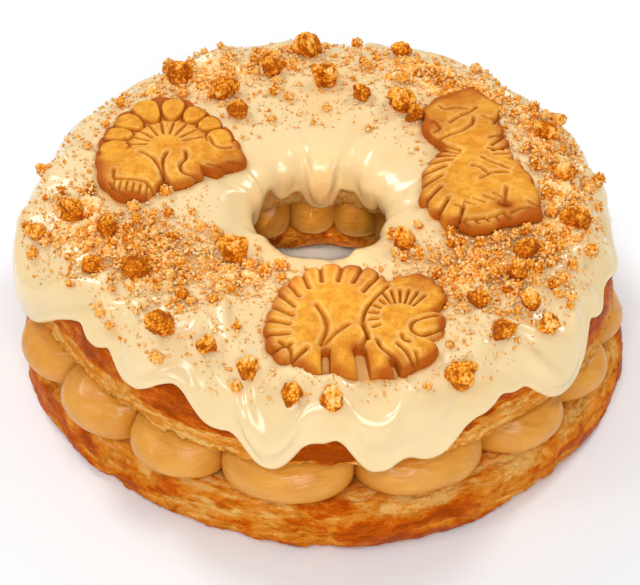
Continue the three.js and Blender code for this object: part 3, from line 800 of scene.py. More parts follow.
class Edge:
    """An edge of the icing: the distance along the section at which a flank has the edge's height.

    The line is softened by a Hann window. around is the radius that turns radians along the edge into
    millimetres, bead is the radius of the rolled lip, and way is 1 where the icing lies further along the
    section, otherwise -1. inwards is the unit direction square to the line, along the edge and the section.
    """

    def __init__(self, section, level, rows, window, around, bead, way):
        row = np.abs(section.height[rows] - level).argmin(0) + rows.start
        line = np.take_along_axis(section.length, row[None, :], 0)[0]
        weights = np.hanning(window) / np.hanning(window).sum()
        self.line = np.convolve(np.concatenate([line[-20:], line, line[:20]]), weights, "same")[20:-20]
        self.around, self.bead = around, bead
        apart = 2 * np.radians(360 / ICING_COLUMNS) * around
        slope = (np.roll(self.line, -1) - np.roll(self.line, 1)) / apart
        self.inwards = np.stack([-slope, np.ones_like(slope)]) / np.hypot(1, slope) * way
        self.start = self.line + bead * self.inwards[1]

    def lip(self, section):
        """Points of the lip: a half circle set back square to the line."""
        turn = np.radians(LIP_STEPS)[:, None]
        along, across = self.bead * (1 - np.cos(turn)) * self.inwards[:, None]
        return section.lifted(self.line + across, along / self.around, self.bead * (1 + np.sin(turn)))

    def shift(self, body):
        """How far the sheet's points still move along the edge: as the lip's do, fading over 9 mm."""
        return bell((body - self.start) / 9) * (self.bead * self.inwards[0])

    def distance(self, section, body, reach):
        """Least distance from each point of the sheet to the line, over the columns within its reach."""
        x = np.radians(section.angle[0]) * self.around
        at = x + self.shift(body)
        least = np.full(body.shape, FAR)
        turn = np.median(np.diff(x)) * len(x)
        for k in range(-reach, reach + 1):
            wrap = np.zeros(len(x))
            if k > 0:
                wrap[-k:] = turn
            elif k < 0:
                wrap[:-k] = -turn
            least = np.minimum(least, np.hypot(at - (np.roll(x, -k) + wrap), body - np.roll(self.line, -k)))
        return least

    def fuller(self, distance):
        """How much thicker the icing is near the edge, where it comes down from its lip over 5 mm."""
        return (2 * self.bead - ICING_SHEET) * bell((distance - self.bead).clip(0) / 5)


def icing_relief(angle, spot, body, up, down):
    """Height of the relief at points of the sheet.

    body is their distance along the section, up and down their distances from the two edges. The relief adds
    broad noise, rivulets and lobes shaped as bells, drag marks, folds and waves where a field of noise that
    follows the flow is near 0, soft ridges along their paths, and two thicker sheets that end in a step.
    """
    relief = 0.8 * noise(spot / 24, 91) + 0.55 * noise(spot / 12, 93)
    for at, lean, width, rise, reach in FLOWS:
        off = between(angle, at + lean * up / 40)
        steep = np.where(off * lean > 0, 0.8, 1.8)  # a rivulet is steeper on the side it leans to
        relief += 1.9 * rise * bell(off / (width * steep)) * bell(up / reach) * ramp(up, 2, 12)
    for at, width, tip in ICING_INNER_DRIPS:
        lobe = bell(between(angle, at) / (width * 1.1)) * bell(down / 28)
        relief += 0.2 * max(66 - tip, 0) * lobe * ramp(down, 1, 12)
    drag = noise(swept(angle + 4 * noise(spot / 15, 95), 4, body / 42), 97)
    relief += 0.2 * drag * ramp(up, 3, 16) * bell(up / 55)
    folds = bell(noise(swept(angle + 5 * noise(spot / 22, 99), 3.1, body / 26), 98) / 0.42)
    relief += 0.45 * folds * ramp(up, 3, 12) * bell(up / 40)
    for path, width, rise in ROLLS:
        line = [(2 * at, high) for at, high in path]  # a degree is about 2 mm at the edge
        off = np.minimum(*(path_distance(2 * (angle - turn) + 0 * up, up, line) for turn in (0, 360)))
        relief += 1.4 * rise * bell(off / width) * ramp(up, 1, 6)
    waves = bell(noise(swept(angle + 10 * noise(spot / 26, 121), 9, down / 60), 122) / 0.32)
    relief += 2.4 * waves * ramp(down, 4, 14) * bell(down / 36)
    for seed, start, rise in ((111, 9, 1.6), (115, 21, 1.4)):
        turn = angle + 1.5 * noise(spot / 14, seed)
        step_at = start + 6 * noise(swept(turn, 9, 0), seed + 1) + 3 * noise(swept(turn, 3.5, 0), seed + 2)
        full = ramp(noise(swept(turn, 12, 0), seed + 3), -0.5, 0.2)
        past = up - step_at
        relief += rise * full * ramp(past, -3.2, 2.4) * bell(past.clip(0) / 12)
    return relief


def icing_surface():
    """The icing's points and its tint of thinner icing and painted shade, in rows from the outer edge over
    the crest to the inner one.

    Between the two lips the sheet has its even thickness, more near the edges, and its relief, smoothed along
    the ring. It sinks under each biscuit. Hidden rows inside the bread lead back and close it.
    """
    angle = ring_angles(ICING_COLUMNS)
    section = Section(angle)
    outer_level = edge_height(angle, ICING_OUTER_RIM, ICING_OUTER_DRIPS)
    fuller = [(at, 1.25 * width, tip) for at, width, tip in ICING_INNER_DRIPS]
    inner_level = edge_height(angle, ICING_INNER_RIM + BUN_TILT * aimed(angle)[1], fuller, 3)
    bead = 1.95 + 0.65 * ramp(ICING_OUTER_RIM - outer_level, 3, 16)
    outer = Edge(section, outer_level, OUTER_ROWS, OUTER_WINDOW, OUTER_AROUND, bead, 1)
    bead = 1.9 + 0.4 * ramp(ICING_INNER_RIM - inner_level, 2, 12)
    inner = Edge(section, inner_level, INNER_ROWS, INNER_WINDOW, INNER_AROUND, bead, -1)

    near = NEAR_STEPS[:, None]
    first, last = outer.start + near[-1], inner.start - near[-1]
    middle = first + (last - first) * inner_shares(MIDDLE_STEPS)
    body = np.concatenate([outer.start + near, middle, (inner.start - near)[::-1]])
    up, down = body - outer.line, inner.line - body
    from_outer = outer.distance(section, body, OUTER_REACH)
    from_inner = inner.distance(section, body, INNER_REACH)
    calm = ramp(from_outer, 2, 9) * ramp(from_inner, 2, 9)
    radius, height = section.along(body)
    relief = icing_relief(section.angle, ring_points(section.angle, radius, height), body, up, down)
    thick = ICING_SHEET + outer.fuller(from_outer) + inner.fuller(from_inner) + relief * (0.25 + 0.75 * calm)
    inside = ramp(up / (up + down), 0.5, 0.8)
    smooth = rounded(thick, 24, 1) * (1 - inside) + rounded(thick, 180, 1) * inside
    between_lips = ramp(from_outer - outer.bead, 0, 3) * ramp(from_inner - inner.bead, 0, 3)
    thick = np.maximum(thick + between_lips * (smooth - thick), LEAST_ICING)

    shift = outer.shift(body) / OUTER_AROUND + inner.shift(body) / INNER_AROUND
    top, floor = section.lifted(body, shift, thick), section.lifted(body, shift, ICING_FLOOR)
    top, beside = sink_under_biscuits(top, floor)
    # painted shade in the icing's valleys, where it also lies thinner over the bread
    hollow = 0.75 * ramp(4.3 - thick, 0, 2.4) * calm
    # painted warm shade low down in the hole, standing for light thrown back by cream and crumb
    deep = 0.6 * ramp(78 - height, 0, 16) * ramp(RING_RADIUS - radius, 8, 20)
    # the tint of thinner icing and painted shade; round the biscuits' outlines it is painted contact shadow
    # together with butter soaking in
    thin = np.maximum.reduce([hollow, deep, 0.9 * beside])

    first = section.lifted(outer.line[None] + HIDDEN_STEP, 0, HIDDEN_HEIGHT)
    last = section.lifted(inner.line[None] - HIDDEN_STEP, 0, HIDDEN_HEIGHT)
    under = section.lifted(inner.line + (outer.line - inner.line) * inner_shares(UNDER_STEPS), 0, UNDERSIDE)
    before, after = [first, outer.lip(section)], [inner.lip(section)[::-1], last, under]
    ends = [np.zeros((sum(map(len, before)), ICING_COLUMNS)), np.tile(thin[-1], (sum(map(len, after)), 1))]
    return np.concatenate([*before, top, *after]), np.concatenate([ends[0], thin, ends[1]])


# ---- Biscuits -----------------------------------------------------------------------------------

BISCUIT_HALF = 2.8  # half the thickness
BISCUIT_ROUNDING = 1.9  # radius of the rounded edge
BISCUIT_COLUMNS, BISCUIT_RINGS = 620, 62
NO_GAP = 9.0  # distance from a gap that makes no difference
PLATE_FOOT = 15.8  # distance of the plates' near ends from the biscuit's middle
PLATE_SPREAD = 11.1  # half the width of a plate in degrees
PLATE_POWER = 2.4  # 2 would make true ovals, and more makes them squarer

# Each biscuit lies flat in its own frame, in millimetres and degrees.
# angle, radius, height, lean and turn place it on the ring; seed starts its noise.
# reach: (angle, distance to the edge). scallops: (first angle, last angle, lobes, depth).
# notches: (angle, width, depth). lines: (path, width, depth). eyes: (x, y, size).
# creases, one for each run of scallops: the hub they aim at, length of the longest, loss with each one,
# longest share of the reach, width, depth.
# rays: (hub, first angle, last angle, count, near, far, width, depth).
# combs: (stroke, step, count, width, depth). gaps between legs: (path, half width).
# scorched: (x, y, size, share). domes: (x, y, half width, half length, turn, height).
# plates: (first angle, last angle, count).
HORNED = {
    "angle": -80.3, "radius": 85.5, "height": 81.7, "lean": 5.5, "turn": 2, "seed": 101,
    "reach": [
        (180, 35.5), (150, 34.2), (124, 37), (100, 38.8), (78, 35.6), (54, 29), (36, 37.8), (18, 37.5),
        (2, 32), (342, 31), (324, 31), (300, 27.5), (272, 23.5), (235, 23.8), (214, 29), (190, 36),
    ],
    "scallops": [(62, 205, 11, 1.6), (8, 52, 5, 1.3)],
    "notches": [(54, 4, 2), (3, 3.5, 4), (334, 4, 4.5)],
    "creases": [((-13, -3), 12.5, 0.55, 1, 1.0, 1.25)],
    "rays": [
        ((15.5, 0.5), 118, 196, 5, 8.6, 11.4, 0.75, 1.5), ((15.5, 0.5), 38, 104, 6, 7.4, 14.5, 0.7, 1.2),
    ],
    "combs": [],
    "lines": [
        ([(-13.5, 12.5), (-12, 5), (-12.5, -1), (-16, -8)], 1.0, 0.9),
        ([(-14.5, -8), (-10, -4), (-4, 0)], 0.9, 0.7),
        ([(0.5, 0), (1.4, -6), (-2, -12)], 0.9, 0.8),
        ([(15, 18), (9, 12.5), (4, 6.5), (1.4, 0), (1.8, -8)], 0.9, 1.1),
        ([(14, -8.5), (14.2, -10.6), (16, -12)], 0.9, 0.9),
        ([(4.5, -9), (5.4, -13), (9, -19), (10, -23)], 0.8, 1.2),
        ([(11.5, -12), (13.8, -16.5), (15.5, -23)], 0.9, 1.1),
        ([(29, -1.4), (20, -3), (18, -6.5), (20.5, -9.8), (25.5, -9.3), (30, -7.5)], 0.8, 1.1),
        ([(-30.5, -4), (-27.5, -8), (-27.8, -13), (-29, -17)], 0.9, 0.9),
        ([(17, -17), (17, -22)], 0.9, 0.8), ([(-35, -6.5), (-32, -7.5)], 0.8, 0.8),
        ([(-33.5, -12.5), (-30, -12.2)], 0.8, 0.8),
    ],
    "gaps": [
        ([(-15, -11.4), (-16.4, -19)], 1.5), ([(-2.8, -13.4), (-3.2, -24)], 2.3),
        ([(8, -19.5), (9.2, -27)], 1.2),
    ],
    "scorched": [
        (30, 20, 9, 0.6), (31, -5, 5, 0.4), (25, -20, 5, 0.4), (9, -27, 4, 0.35), (-9, -26, 4, 0.35),
        (-23, -22, 4, 0.35), (8, 28, 9, 0.35), (-33, -6, 5, 0.35),
    ],
    "domes": [
        (25, -5.5, 6.5, 3.6, 10, 0.7), (21, -19.5, 5, 4, -20, 0.6), (-24, -2, 9, 12, 0, 0.5),
        (-8, -7, 7, 7, 0, 0.4), (6, 19, 6, 5, 0, 0.3),
    ],
    "eyes": [],
    "plates": (),
}
PLATED = {
    "angle": 157, "radius": 66, "height": 86.2, "lean": -1.5, "turn": 99, "seed": 111,
    "reach": [
        (5, 31.8), (22, 29), (50, 27.6), (75, 28.8), (98, 33.5), (118, 37), (140, 34.2), (160, 30.6),
        (195, 29.2), (215, 30.5), (240, 35.5), (256, 38.2), (268, 34.8), (280, 26.5), (300, 24.6),
        (318, 22.4), (345, 25.7),
    ],
    "scallops": [(16, 207, 11, 1.5)],
    "notches": [(284, 4, 4.5), (330, 4, 4)],
    "creases": [],
    "rays": [((-1, -1), 36, 192, 9, 7.5, 15.5, 0.7, 0.8)],
    "combs": [([(-13.5, -28.4), (-12.7, -33.5)], (2.7, 0), 6, 0.55, 0.8)],
    "lines": [
        ([(-9.5, -8), (-3.5, -11), (1, -16), (6.5, -24.5)], 1.0, 1.1),
        ([(1, -5.5), (1.2, -12), (4.5, -21)], 0.9, 1.0),
        ([(8, -3), (9.3, -7), (8.4, -12), (11, -15.7), (17, -15.3)], 0.9, 1.1),
        ([(18.5, -7.3), (23, -6.3), (27, -4)], 0.8, 1.0), ([(25.5, -2.1), (32, 1.4)], 0.6, 1.5),
        ([(-16, -21.5), (-14, -27), (-8.5, -26.8), (-2, -26.4), (3, -30)], 0.8, 0.9),
        ([(-15, -30), (-11, -34), (-6, -36), (0, -35.5), (2, -32.5)], 0.8, 0.9),
        ([(14.5, 9), (18, 5.2), (21.5, 5), (24, 7)], 0.8, 0.8),
    ],
    "gaps": [],
    "scorched": [(32, 0, 8, 0.7), (22, -8, 5, 0.3), (-22, -24, 8, 0.4), (-4, -34, 6, 0.3), (0, 33, 20, 0.2)],
    "domes": [
        (-6, -17, 10, 8, -30, 0.7), (5, -14, 4, 7, 20, 0.5), (24, 1, 6, 4, 20, 0.4), (20, -9, 5, 3, 0, 0.4),
    ],
    "eyes": [(25.6, 3.2, 0.9)],
    "plates": (32, 198, 8),
}
CRESTED = {
    "angle": 15, "radius": 65, "height": 86.4, "lean": -0.5, "turn": -94, "seed": 121,
    "reach": [
        (79, 48.8), (95, 45), (108, 41), (118, 33), (139, 16.5), (150, 15.8), (172, 19.3), (195, 25.6),
        (219, 35), (243, 42.8), (256, 46), (272, 42.2), (290, 43), (300, 36), (312, 26.5), (332, 19),
        (344, 14.5), (12, 15), (42, 19.8), (54, 26), (64, 41),
    ],
    "scallops": [(138, 246, 8, 2.8), (0, 60, 3, 2.8)],
    "notches": [(343, 4, 1.5), (302, 3, 1.5)],
    "creases": [((0, 0), 8.5, 0, 0.42, 0.9, 1.6)] * 2,
    "rays": [],
    "combs": [
        ([(-15, -38.4), (-14, -41.6)], (4, 0), 5, 0.7, 1.0),
        ([(-16, -27.5), (-12.6, -30.6)], [(4, 0.6), (4, 0.4)], 5, 0.6, 0.8),
    ],
    "lines": [
        ([(-14, 13.5), (-8, 16), (-2, 17.8), (3, 21.5), (5, 26)], 0.9, 1.1),
        ([(-5.2, 24.5), (-1.5, 27.3), (3.2, 29.5), (8, 33)], 0.9, 0.9),
        ([(-7, 36.5), (-5, 33.6), (-1, 34), (4, 32.5)], 0.8, 0.9),
        ([(-12.4, 26.6), (-10.8, 24), (-10.4, 21), (-13, 19.5)], 0.8, 0.9),
        ([(9, 26), (12, 24.2), (17, 26)], 0.8, 0.8), ([(8, 11.3), (14, 13)], 0.8, 1.0),
        ([(5.5, 4.4), (11, 2.6)], 0.8, 1.0), ([(1.4, -1.3), (4.8, -6), (10, -10.4)], 0.8, 1.2),
        ([(-3.6, -6), (-1, -8), (1.5, -12), (9, -12.8)], 0.8, 1.1), ([(-2.6, -14.8), (1, -13.2)], 0.8, 0.9),
        (
            [(-20.5, -42), (-18.2, -38.4), (-14, -37.4), (-9, -39), (-4, -38.8), (1, -37.4), (3, -41)],
            0.9, 1.1,
        ),
        ([(6, -22.5), (4, -28), (2.6, -32)], 0.9, 0.9),
        ([(3.5, -38), (8, -36.3), (13, -36.4), (16, -38)], 0.8, 1.0),
        ([(12, -31.5), (14, -34.4), (17, -35.5)], 0.8, 1.0),
    ],
    "gaps": [([(1.6, -32), (3.0, -33)], 1.5)],
    "scorched": [
        (-15, 25, 8, 0.7), (0, 44, 15, 0.5), (13, -42, 8, 0.5), (-20, -16, 8, 0.35), (-12, -42, 8, 0.4),
        (17, 10, 7, 0.45), (10, 22, 6, 0.3),
    ],
    "domes": [
        (-11, 28, 6, 5, 30, 0.6), (12, -40, 6, 4, 0, 0.5), (-10, -43, 9, 3, 10, 0.4), (7, -25, 6, 8, 0, 0.4),
        (0, -12, 10, 14, 0, 0.4),
    ],
    "eyes": [(1.9, 26, 1.0)],
    "plates": (),
}
BISCUITS = {"biscuit_horned": HORNED, "biscuit_plated": PLATED, "biscuit_crested": CRESTED}


def eased_round(angle, knots):
    """Value between known angles, each step eased by half a cosine wave, round the whole circle."""
    known = np.array(sorted((a % 360, v) for a, v in knots))
    at = np.asarray(angle) % 360
    after = np.searchsorted(known[:, 0], at, side="right") % len(known)
    before = (after - 1) % len(known)
    span = (known[after, 0] - known[before, 0]) % 360
    share = ((at - known[before, 0]) % 360) / span
    return known[before, 1] + (known[after, 1] - known[before, 1]) * (1 - np.cos(np.pi * share)) / 2


def biscuit_reach(spec, angle):
    """Distance from a biscuit's middle to its edge: eased between known angles, with lobes and cuts."""
    reach = eased_round(angle, spec["reach"])
    for start, stop, lobes, depth in spec["scallops"]:
        share = ((angle - start) % 360) / (stop - start)
        reach = reach + np.where(share <= 1, depth * (np.abs(np.sin(np.pi * lobes * share)) ** 0.8 - 1), 0)
    return reach - sum(depth * hump(angle, middle, width) for middle, width, depth in spec["notches"])


def lay(spec, points):
    """Points of a flat biscuit in their place: turned, bowed across the ring, leaned outwards and moved."""
    points = rotated(points, 2, spec["turn"])
    points[..., 2] -= points[..., 1] ** 2 / (2 * BISCUIT_BOW)
    points = rotated(rotated(rotated(points, 2, 90), 1, spec["lean"]), 2, spec["angle"])
    return points + ring_points(spec["angle"], spec["radius"], spec["height"])


def unlay(spec, points):
    """lay turned round: where points of the cake are in a flat biscuit's own frame."""
    points = points - ring_points(spec["angle"], spec["radius"], spec["height"])
    points = rotated(rotated(rotated(points, 2, -spec["angle"]), 1, -spec["lean"]), 2, -90)
    points[..., 2] += points[..., 1] ** 2 / (2 * BISCUIT_BOW)
    return rotated(points, 2, -spec["turn"])


def inside_biscuit(spec, local):
    """How far points are inside a biscuit's outline, from above, in millimetres."""
    angle = np.degrees(np.arctan2(local[..., 1], local[..., 0]))
    return biscuit_reach(spec, angle) - np.hypot(local[..., 0], local[..., 1])


def sink_under_biscuits(top, floor):
    """The icing's points, let down under each biscuit as far as the floor, and how near they are to one."""
    near = np.zeros(top.shape[:-1])
    for spec in BISCUITS.values():
        local = unlay(spec, top)
        near = np.maximum(near, ramp(inside_biscuit(spec, local), -1.6, 0.3))
        inside = ramp(inside_biscuit(spec, local), -0.2, 0.8)
        for path, half in spec["gaps"]:  # between the legs the icing sinks less
            beside = ramp(path_distance(local[..., 0], local[..., 1], path) - half, -0.9, 0.3)
            inside = inside * (0.85 + 0.15 * beside)
        press = np.maximum(local[..., 2] + BISCUIT_HALF - 0.4, 0) * inside
        reach = top - floor
        depth = np.linalg.norm(reach, axis=-1, keepdims=True) + 1e-9
        top = top - reach / depth * np.minimum(press[..., None], depth)
    return top, near


def path_distance(x, y, path):
    """Distance from points to a Catmull-Rom curve through a path: the least over its straight parts."""
    path = np.array(path, float)
    if len(path) > 2:
        knots = np.concatenate([[2 * path[0] - path[1]], path, [2 * path[-1] - path[-2]]])
        t = np.linspace(0, 1, 7)[:-1, None]
        curve = [
            0.5 * (2 * b + (c - a) * t + (2 * a - 5 * b + 4 * c - d) * t**2 + (3 * b - a - 3 * c + d) * t**3)
            for a, b, c, d in zip(knots, knots[1:], knots[2:], knots[3:])
        ]
        path = np.concatenate([*curve, path[-1:]])
    least = np.full(x.shape, FAR)
    for (ax, ay), (bx, by) in zip(path, path[1:]):
        run = (bx - ax) ** 2 + (by - ay) ** 2 + 1e-12
        t = np.clip(((x - ax) * (bx - ax) + (y - ay) * (by - ay)) / run, 0, 1)
        least = np.minimum(least, np.hypot(x - ax - t * (bx - ax), y - ay - t * (by - ay)))
    return least


def stamped_lines(spec):
    """Paths, widths and depths of a biscuit's lines: free ones, creases between lobes, rays and combs."""
    lines = list(spec["lines"])
    for (start, stop, lobes, _), crease in zip(spec["scallops"], spec["creases"]):
        hub, longest, loss, share, width, depth = crease
        angles = np.linspace(start, stop, lobes + 1)
        for i, (angle, out) in enumerate(zip(angles, biscuit_reach(spec, angles))):
            outer = out * np.array(aimed(angle))
            inward = (hub - outer) / np.linalg.norm(hub - outer)
            lines.append(([outer, outer + inward * min(longest - loss * i, share * out)], width, depth))
    for hub, start, stop, count, near, far, width, depth in spec["rays"]:
        for angle in np.linspace(start, stop, count):
            way = np.array(aimed(angle))
            lines.append(([hub + way * near, hub + way * far], width, depth))
    for stroke, step, count, width, depth in spec["combs"]:
        lines += [(np.array(stroke) + i * np.array(step), width, depth) for i in range(count)]
    return lines


def plate_relief(spec, x, y):
    """Height, brownness and seams of the plates along the back: a row of ovals over lower, browner ground."""
    front, seam = np.zeros_like(x), np.zeros_like(x)
    turn = np.degrees(np.arctan2(y, x)) % 360
    for angle in np.linspace(*spec["plates"]):
        far, near = biscuit_reach(spec, angle) - 1.2, PLATE_FOOT
        along = (np.hypot(x, y) - (far + near) / 2) / ((far - near) / 2)
        beside = between(turn, angle) / PLATE_SPREAD
        oval = (np.abs(along) ** PLATE_POWER + np.abs(beside) ** PLATE_POWER) ** (1 / PLATE_POWER)
        front = np.maximum(front, ramp(1.02 - oval, 0, 0.14))
        seam = np.maximum(seam, bell((oval - 1.06) / 0.09))
    row = ramp(np.hypot(x, y), 14, 17) * ramp(turn, 22, 30) * ramp(208 - turn, 0, 8)
    return (front - 1.1 * seam - 0.5) * row, (0.8 - 0.95 * front) * row, seam * row


def biscuit_marks(spec, x, y):
    """Relief of what is moulded and stamped, how brown it is baked, and nearness to lines and their sides.

    A dome rises from an oval's edge by a ramp. A line is a bell-shaped groove between two low raised sides.
    """
    relief, line, side = np.zeros_like(x), np.zeros_like(x), np.zeros_like(x)
    for middle_x, middle_y, wide, long, turn, rise in spec["domes"]:
        c, s = aimed(turn)
        across = ((x - middle_x) * c + (y - middle_y) * s) / wide
        along = ((y - middle_y) * c - (x - middle_x) * s) / long
        relief += rise * ramp(1.25 - np.hypot(across, along), 0, 1)
    for path, width, depth in stamped_lines(spec):
        off = path_distance(x, y, path) / width
        beside = bell((off - 1.75) / 0.7)
        relief -= depth * (1.5 * bell(off / 0.72) + 0.18 * bell(off / 2.2) - 0.06 * beside)
        line = np.maximum(line, bell(off / 0.6) * min(1.1 * depth, 1))
        side = np.maximum(side, beside * min(depth, 1))
    for middle_x, middle_y, size in spec["eyes"]:
        relief -= 1.1 * bell(np.hypot(x - middle_x, y - middle_y) / size)
    baked = sum(
        1.15 * share * bell(np.hypot(x - middle_x, y - middle_y) / size)
        for middle_x, middle_y, size, share in spec["scorched"]
    )
    if spec["plates"]:
        plates, brown, seam = plate_relief(spec, x, y)
        relief, baked, line = relief + plates, baked + brown, np.maximum(line, 0.75 * seam)
    return relief, baked, line, side


def biscuit_surface(spec):
    """A biscuit's points on a polar grid, how brown each is, and how deep in a line or, below 0, beside one.

    Rings run from the middle of the top out over the rounded edge to the middle of the bottom. The top
    carries the relief, and between the legs it falls to the bottom's height. Two poles close it.
    """
    angle = np.linspace(0, 360, BISCUIT_COLUMNS, endpoint=False)[None, :]
    reach = biscuit_reach(spec, angle)
    inner = (np.linspace(0.012, 1, BISCUIT_RINGS) ** 0.8)[:, None]
    over = np.linspace(90, -90, 17)[1:-1, None]
    under = np.linspace(1, 0.05, 7)[:, None]
    flat = reach - BISCUIT_ROUNDING
    out = np.concatenate([flat * inner, flat + BISCUIT_ROUNDING * aimed(over)[0], flat * under])
    level = np.concatenate([inner * 0 + 1, aimed(over)[1], under * 0 - 1])  # 1 on top, -1 on the bottom
    x, y = (out * way for way in aimed(angle))
    edge = reach - out
    place = np.stack([x, y, x * 0], -1)
    relief, baked, line, side = biscuit_marks(spec, x, y)
    relief += 0.22 * noise(place / 9, spec["seed"]) + 0.1 * layered(place / 1.7, 2, spec["seed"] + 1)
    relief -= 0.45 * bell(edge / 4)
    gap = np.full_like(x, NO_GAP)
    for path, half in spec["gaps"]:
        gap = np.minimum(gap, path_distance(x, y, path) - half)
    fall = ramp(0.4 - gap, 0, 0.8)
    z = (level * BISCUIT_HALF + relief * level.clip(0)) * (1 - fall) - fall * BISCUIT_HALF
    points = np.stack([x, y, np.maximum(z, -BISCUIT_HALF)], -1)
    near = bell(np.minimum(edge.clip(0), gap.clip(0) + 0.6) / 2.9)
    uneven = noise(place / 6, spec["seed"] + 3)
    brown = near * (0.85 + 0.45 * uneven) + 0.25 * uneven * ramp(12 - edge, 0, 9) + fall * 0.8 + baked
    # line is painted shadow in the stamped lines and seams and, below 0, painted highlight on their raised
    # sides
    line = np.clip(line - 0.34 * side * (line < 0.2), -1, 1)
    poles = np.array([[0, 0, points[0, :, 2].mean()], [0, 0, -BISCUIT_HALF]])
    points = np.concatenate([points.reshape(-1, 3), poles])
    values = [np.append(v.ravel(), [v[0].mean(), v[-1].mean()]) for v in (brown.clip(0, 1), line)]
    return lay(spec, points), *values


# ---- Crumble ------------------------------------------------------------------------------------

CRUMB_COUNT = 380
CRUMB_SIZES = (2.4, 3.8)  # the least, and how much the largest is over it
RING_OF_CRUMBS = (44, 119)  # radii between which crumbs lie
EDGE_ROOM = (4, 3)  # how far inside the icing's outer and inner edge they stay
GRAINS = (5200, 0.8, 0.34, 1.6, 0.2, 0.25, 41, (0.35, 0.9))  # as loose_piece takes them, after the largest
DUST = (8000, 0.35, 0.6, 1.3, 0, 0.2, 51, (0.4, 0.75))


class Ground:
    """The icing's top as a height and a normal over each place, looked up from its grid of points."""

    def __init__(self, points):
        middle = ring_points(ring_angles(ICING_COLUMNS)[None, :], RING_RADIUS, 55)
        normals = grid_normals(points, points - middle)
        first = 1 + len(LIP_STEPS)
        rows = slice(first, first + 2 * len(NEAR_STEPS) + MIDDLE_STEPS)
        self.points, self.normals = points[rows], normals[rows]
        self.radius = ring_radii(self.points)

    def holds(self, angle, radius):
        """Whether places are on the icing and not past its edges."""
        column = np.round((angle - 90) / 360 * ICING_COLUMNS).astype(int) % ICING_COLUMNS
        outer, inner = self.radius[:, column].max(0), self.radius[:, column].min(0)
        return (radius < outer - EDGE_ROOM[0]) & (radius > inner + EDGE_ROOM[1])

    def at(self, angle, radius):
        """Points of the icing, blended between two rows in each of the two nearest columns, and normals."""
        column = (angle - 90) / 360 * ICING_COLUMNS
        height = normal = 0
        for step in (0, 1):
            near = (np.floor(column).astype(int) + step) % ICING_COLUMNS
            share = 1 - np.abs(column - np.floor(column) - step)
            radii = self.radius[:, near]
            row = np.clip((radii > radius).sum(0), 1, len(radii) - 1)
            each = np.arange(len(row))
            outer, inner = radii[row - 1, each], radii[row, each]
            part = np.clip((outer - radius) / (outer - inner + 1e-9), 0, 1)
            level = self.points[row - 1, near, 2] * (1 - part) + self.points[row, near, 2] * part
            height = height + share * level
            normal = normal + share[:, None] * self.normals[row, near]
        normal /= np.linalg.norm(normal, axis=-1, keepdims=True)
        return ring_points(angle, radius, height), normal


def upright(normals, seed):
    """Three axes for each normal: two square to it and each other, turned by a random angle, and itself."""
    helper = np.tile([0.3, 0.2, 0.1], (len(normals), 1)) + normals[:, [1, 2, 0]]
    first = np.cross(normals, helper)
    first /= np.linalg.norm(first, axis=-1, keepdims=True)
    second = np.cross(normals, first)
    turn = 2 * np.pi * hashed(np.round(normals * 1e4), seed)[:, None]
    c, s = np.cos(turn), np.sin(turn)
    return np.stack([first * c + second * s, second * c - first * s, normals], 1)


def scattered(random, count, loose):
    """Angles, radii and pile heights of crumbs: most lie round the heaps by bell curves, the rest evenly."""
    shares = np.array([heap[4] for heap in HEAPS])
    heaps = np.array(HEAPS)[random.choice(len(HEAPS), count, p=shares / shares.sum())]
    angle = heaps[:, 0] + heaps[:, 1] * random.normal(size=count) * 0.8
    radius = heaps[:, 2] + heaps[:, 3] * random.normal(size=count) * 0.8
    off = ((angle - heaps[:, 0]) / heaps[:, 1]) ** 2 + ((radius - heaps[:, 2]) / heaps[:, 3]) ** 2
    pile = heaps[:, 5] * np.exp(-off) * random.random(count)
    anywhere = random.random(count) < loose
    angle = np.where(anywhere, random.uniform(-180, 180, count), angle)
    least, most = RING_OF_CRUMBS
    radius = np.where(anywhere, np.sqrt(random.uniform(least**2, most**2, count)), radius)
    return angle, radius, np.where(anywhere, 0, pile)


def clear_of_biscuits(points, room):
    """Whether points are outside every biscuit's outline by some room."""
    free = np.ones(len(points), bool)
    for spec in BISCUITS.values():
        free &= inside_biscuit(spec, unlay(spec, points)) < -room
    return free


def balls(unit, faces, centres, sizes, axes, jitter, seed):
    """Copies of a unit ball: stretched by sizes along each one's three axes, with corners moved at random."""
    count, corners = len(centres), len(unit)
    cells = np.stack(np.meshgrid(np.arange(count), np.arange(corners), [0], indexing="ij"), -1)[:, :, 0]
    swing = 1 + jitter * (2 * hashed(cells, seed) - 1)
    local = unit[None] * swing[..., None] * sizes[:, None, :]
    points = centres[:, None] + np.einsum("nck,nkx->ncx", local, axes)
    starts = corners * np.arange(count)[:, None, None]
    return points.reshape(-1, 3), [(f[None] + starts).reshape(-1, f.shape[1]) for f in faces]


def small_ball(rows, columns):
    """A unit ball of few faces: rings of corners between two poles."""
    tiers = np.linspace(90, -90, rows + 2)[1:-1]
    around = 2 * np.pi * (np.arange(columns)[None, :] + 0.5 * (np.arange(rows)[:, None] % 2)) / columns
    flat, tall = np.cos(np.radians(tiers))[:, None], np.sin(np.radians(tiers))[:, None]
    grid = np.stack([flat * np.cos(around), flat * np.sin(around), tall + 0 * around], -1).reshape(-1, 3)
    return np.concatenate([grid, [[0, 0, 1], [0, 0, -1]]]), ball_faces(rows, columns)


CHUNK_SIDES = 14


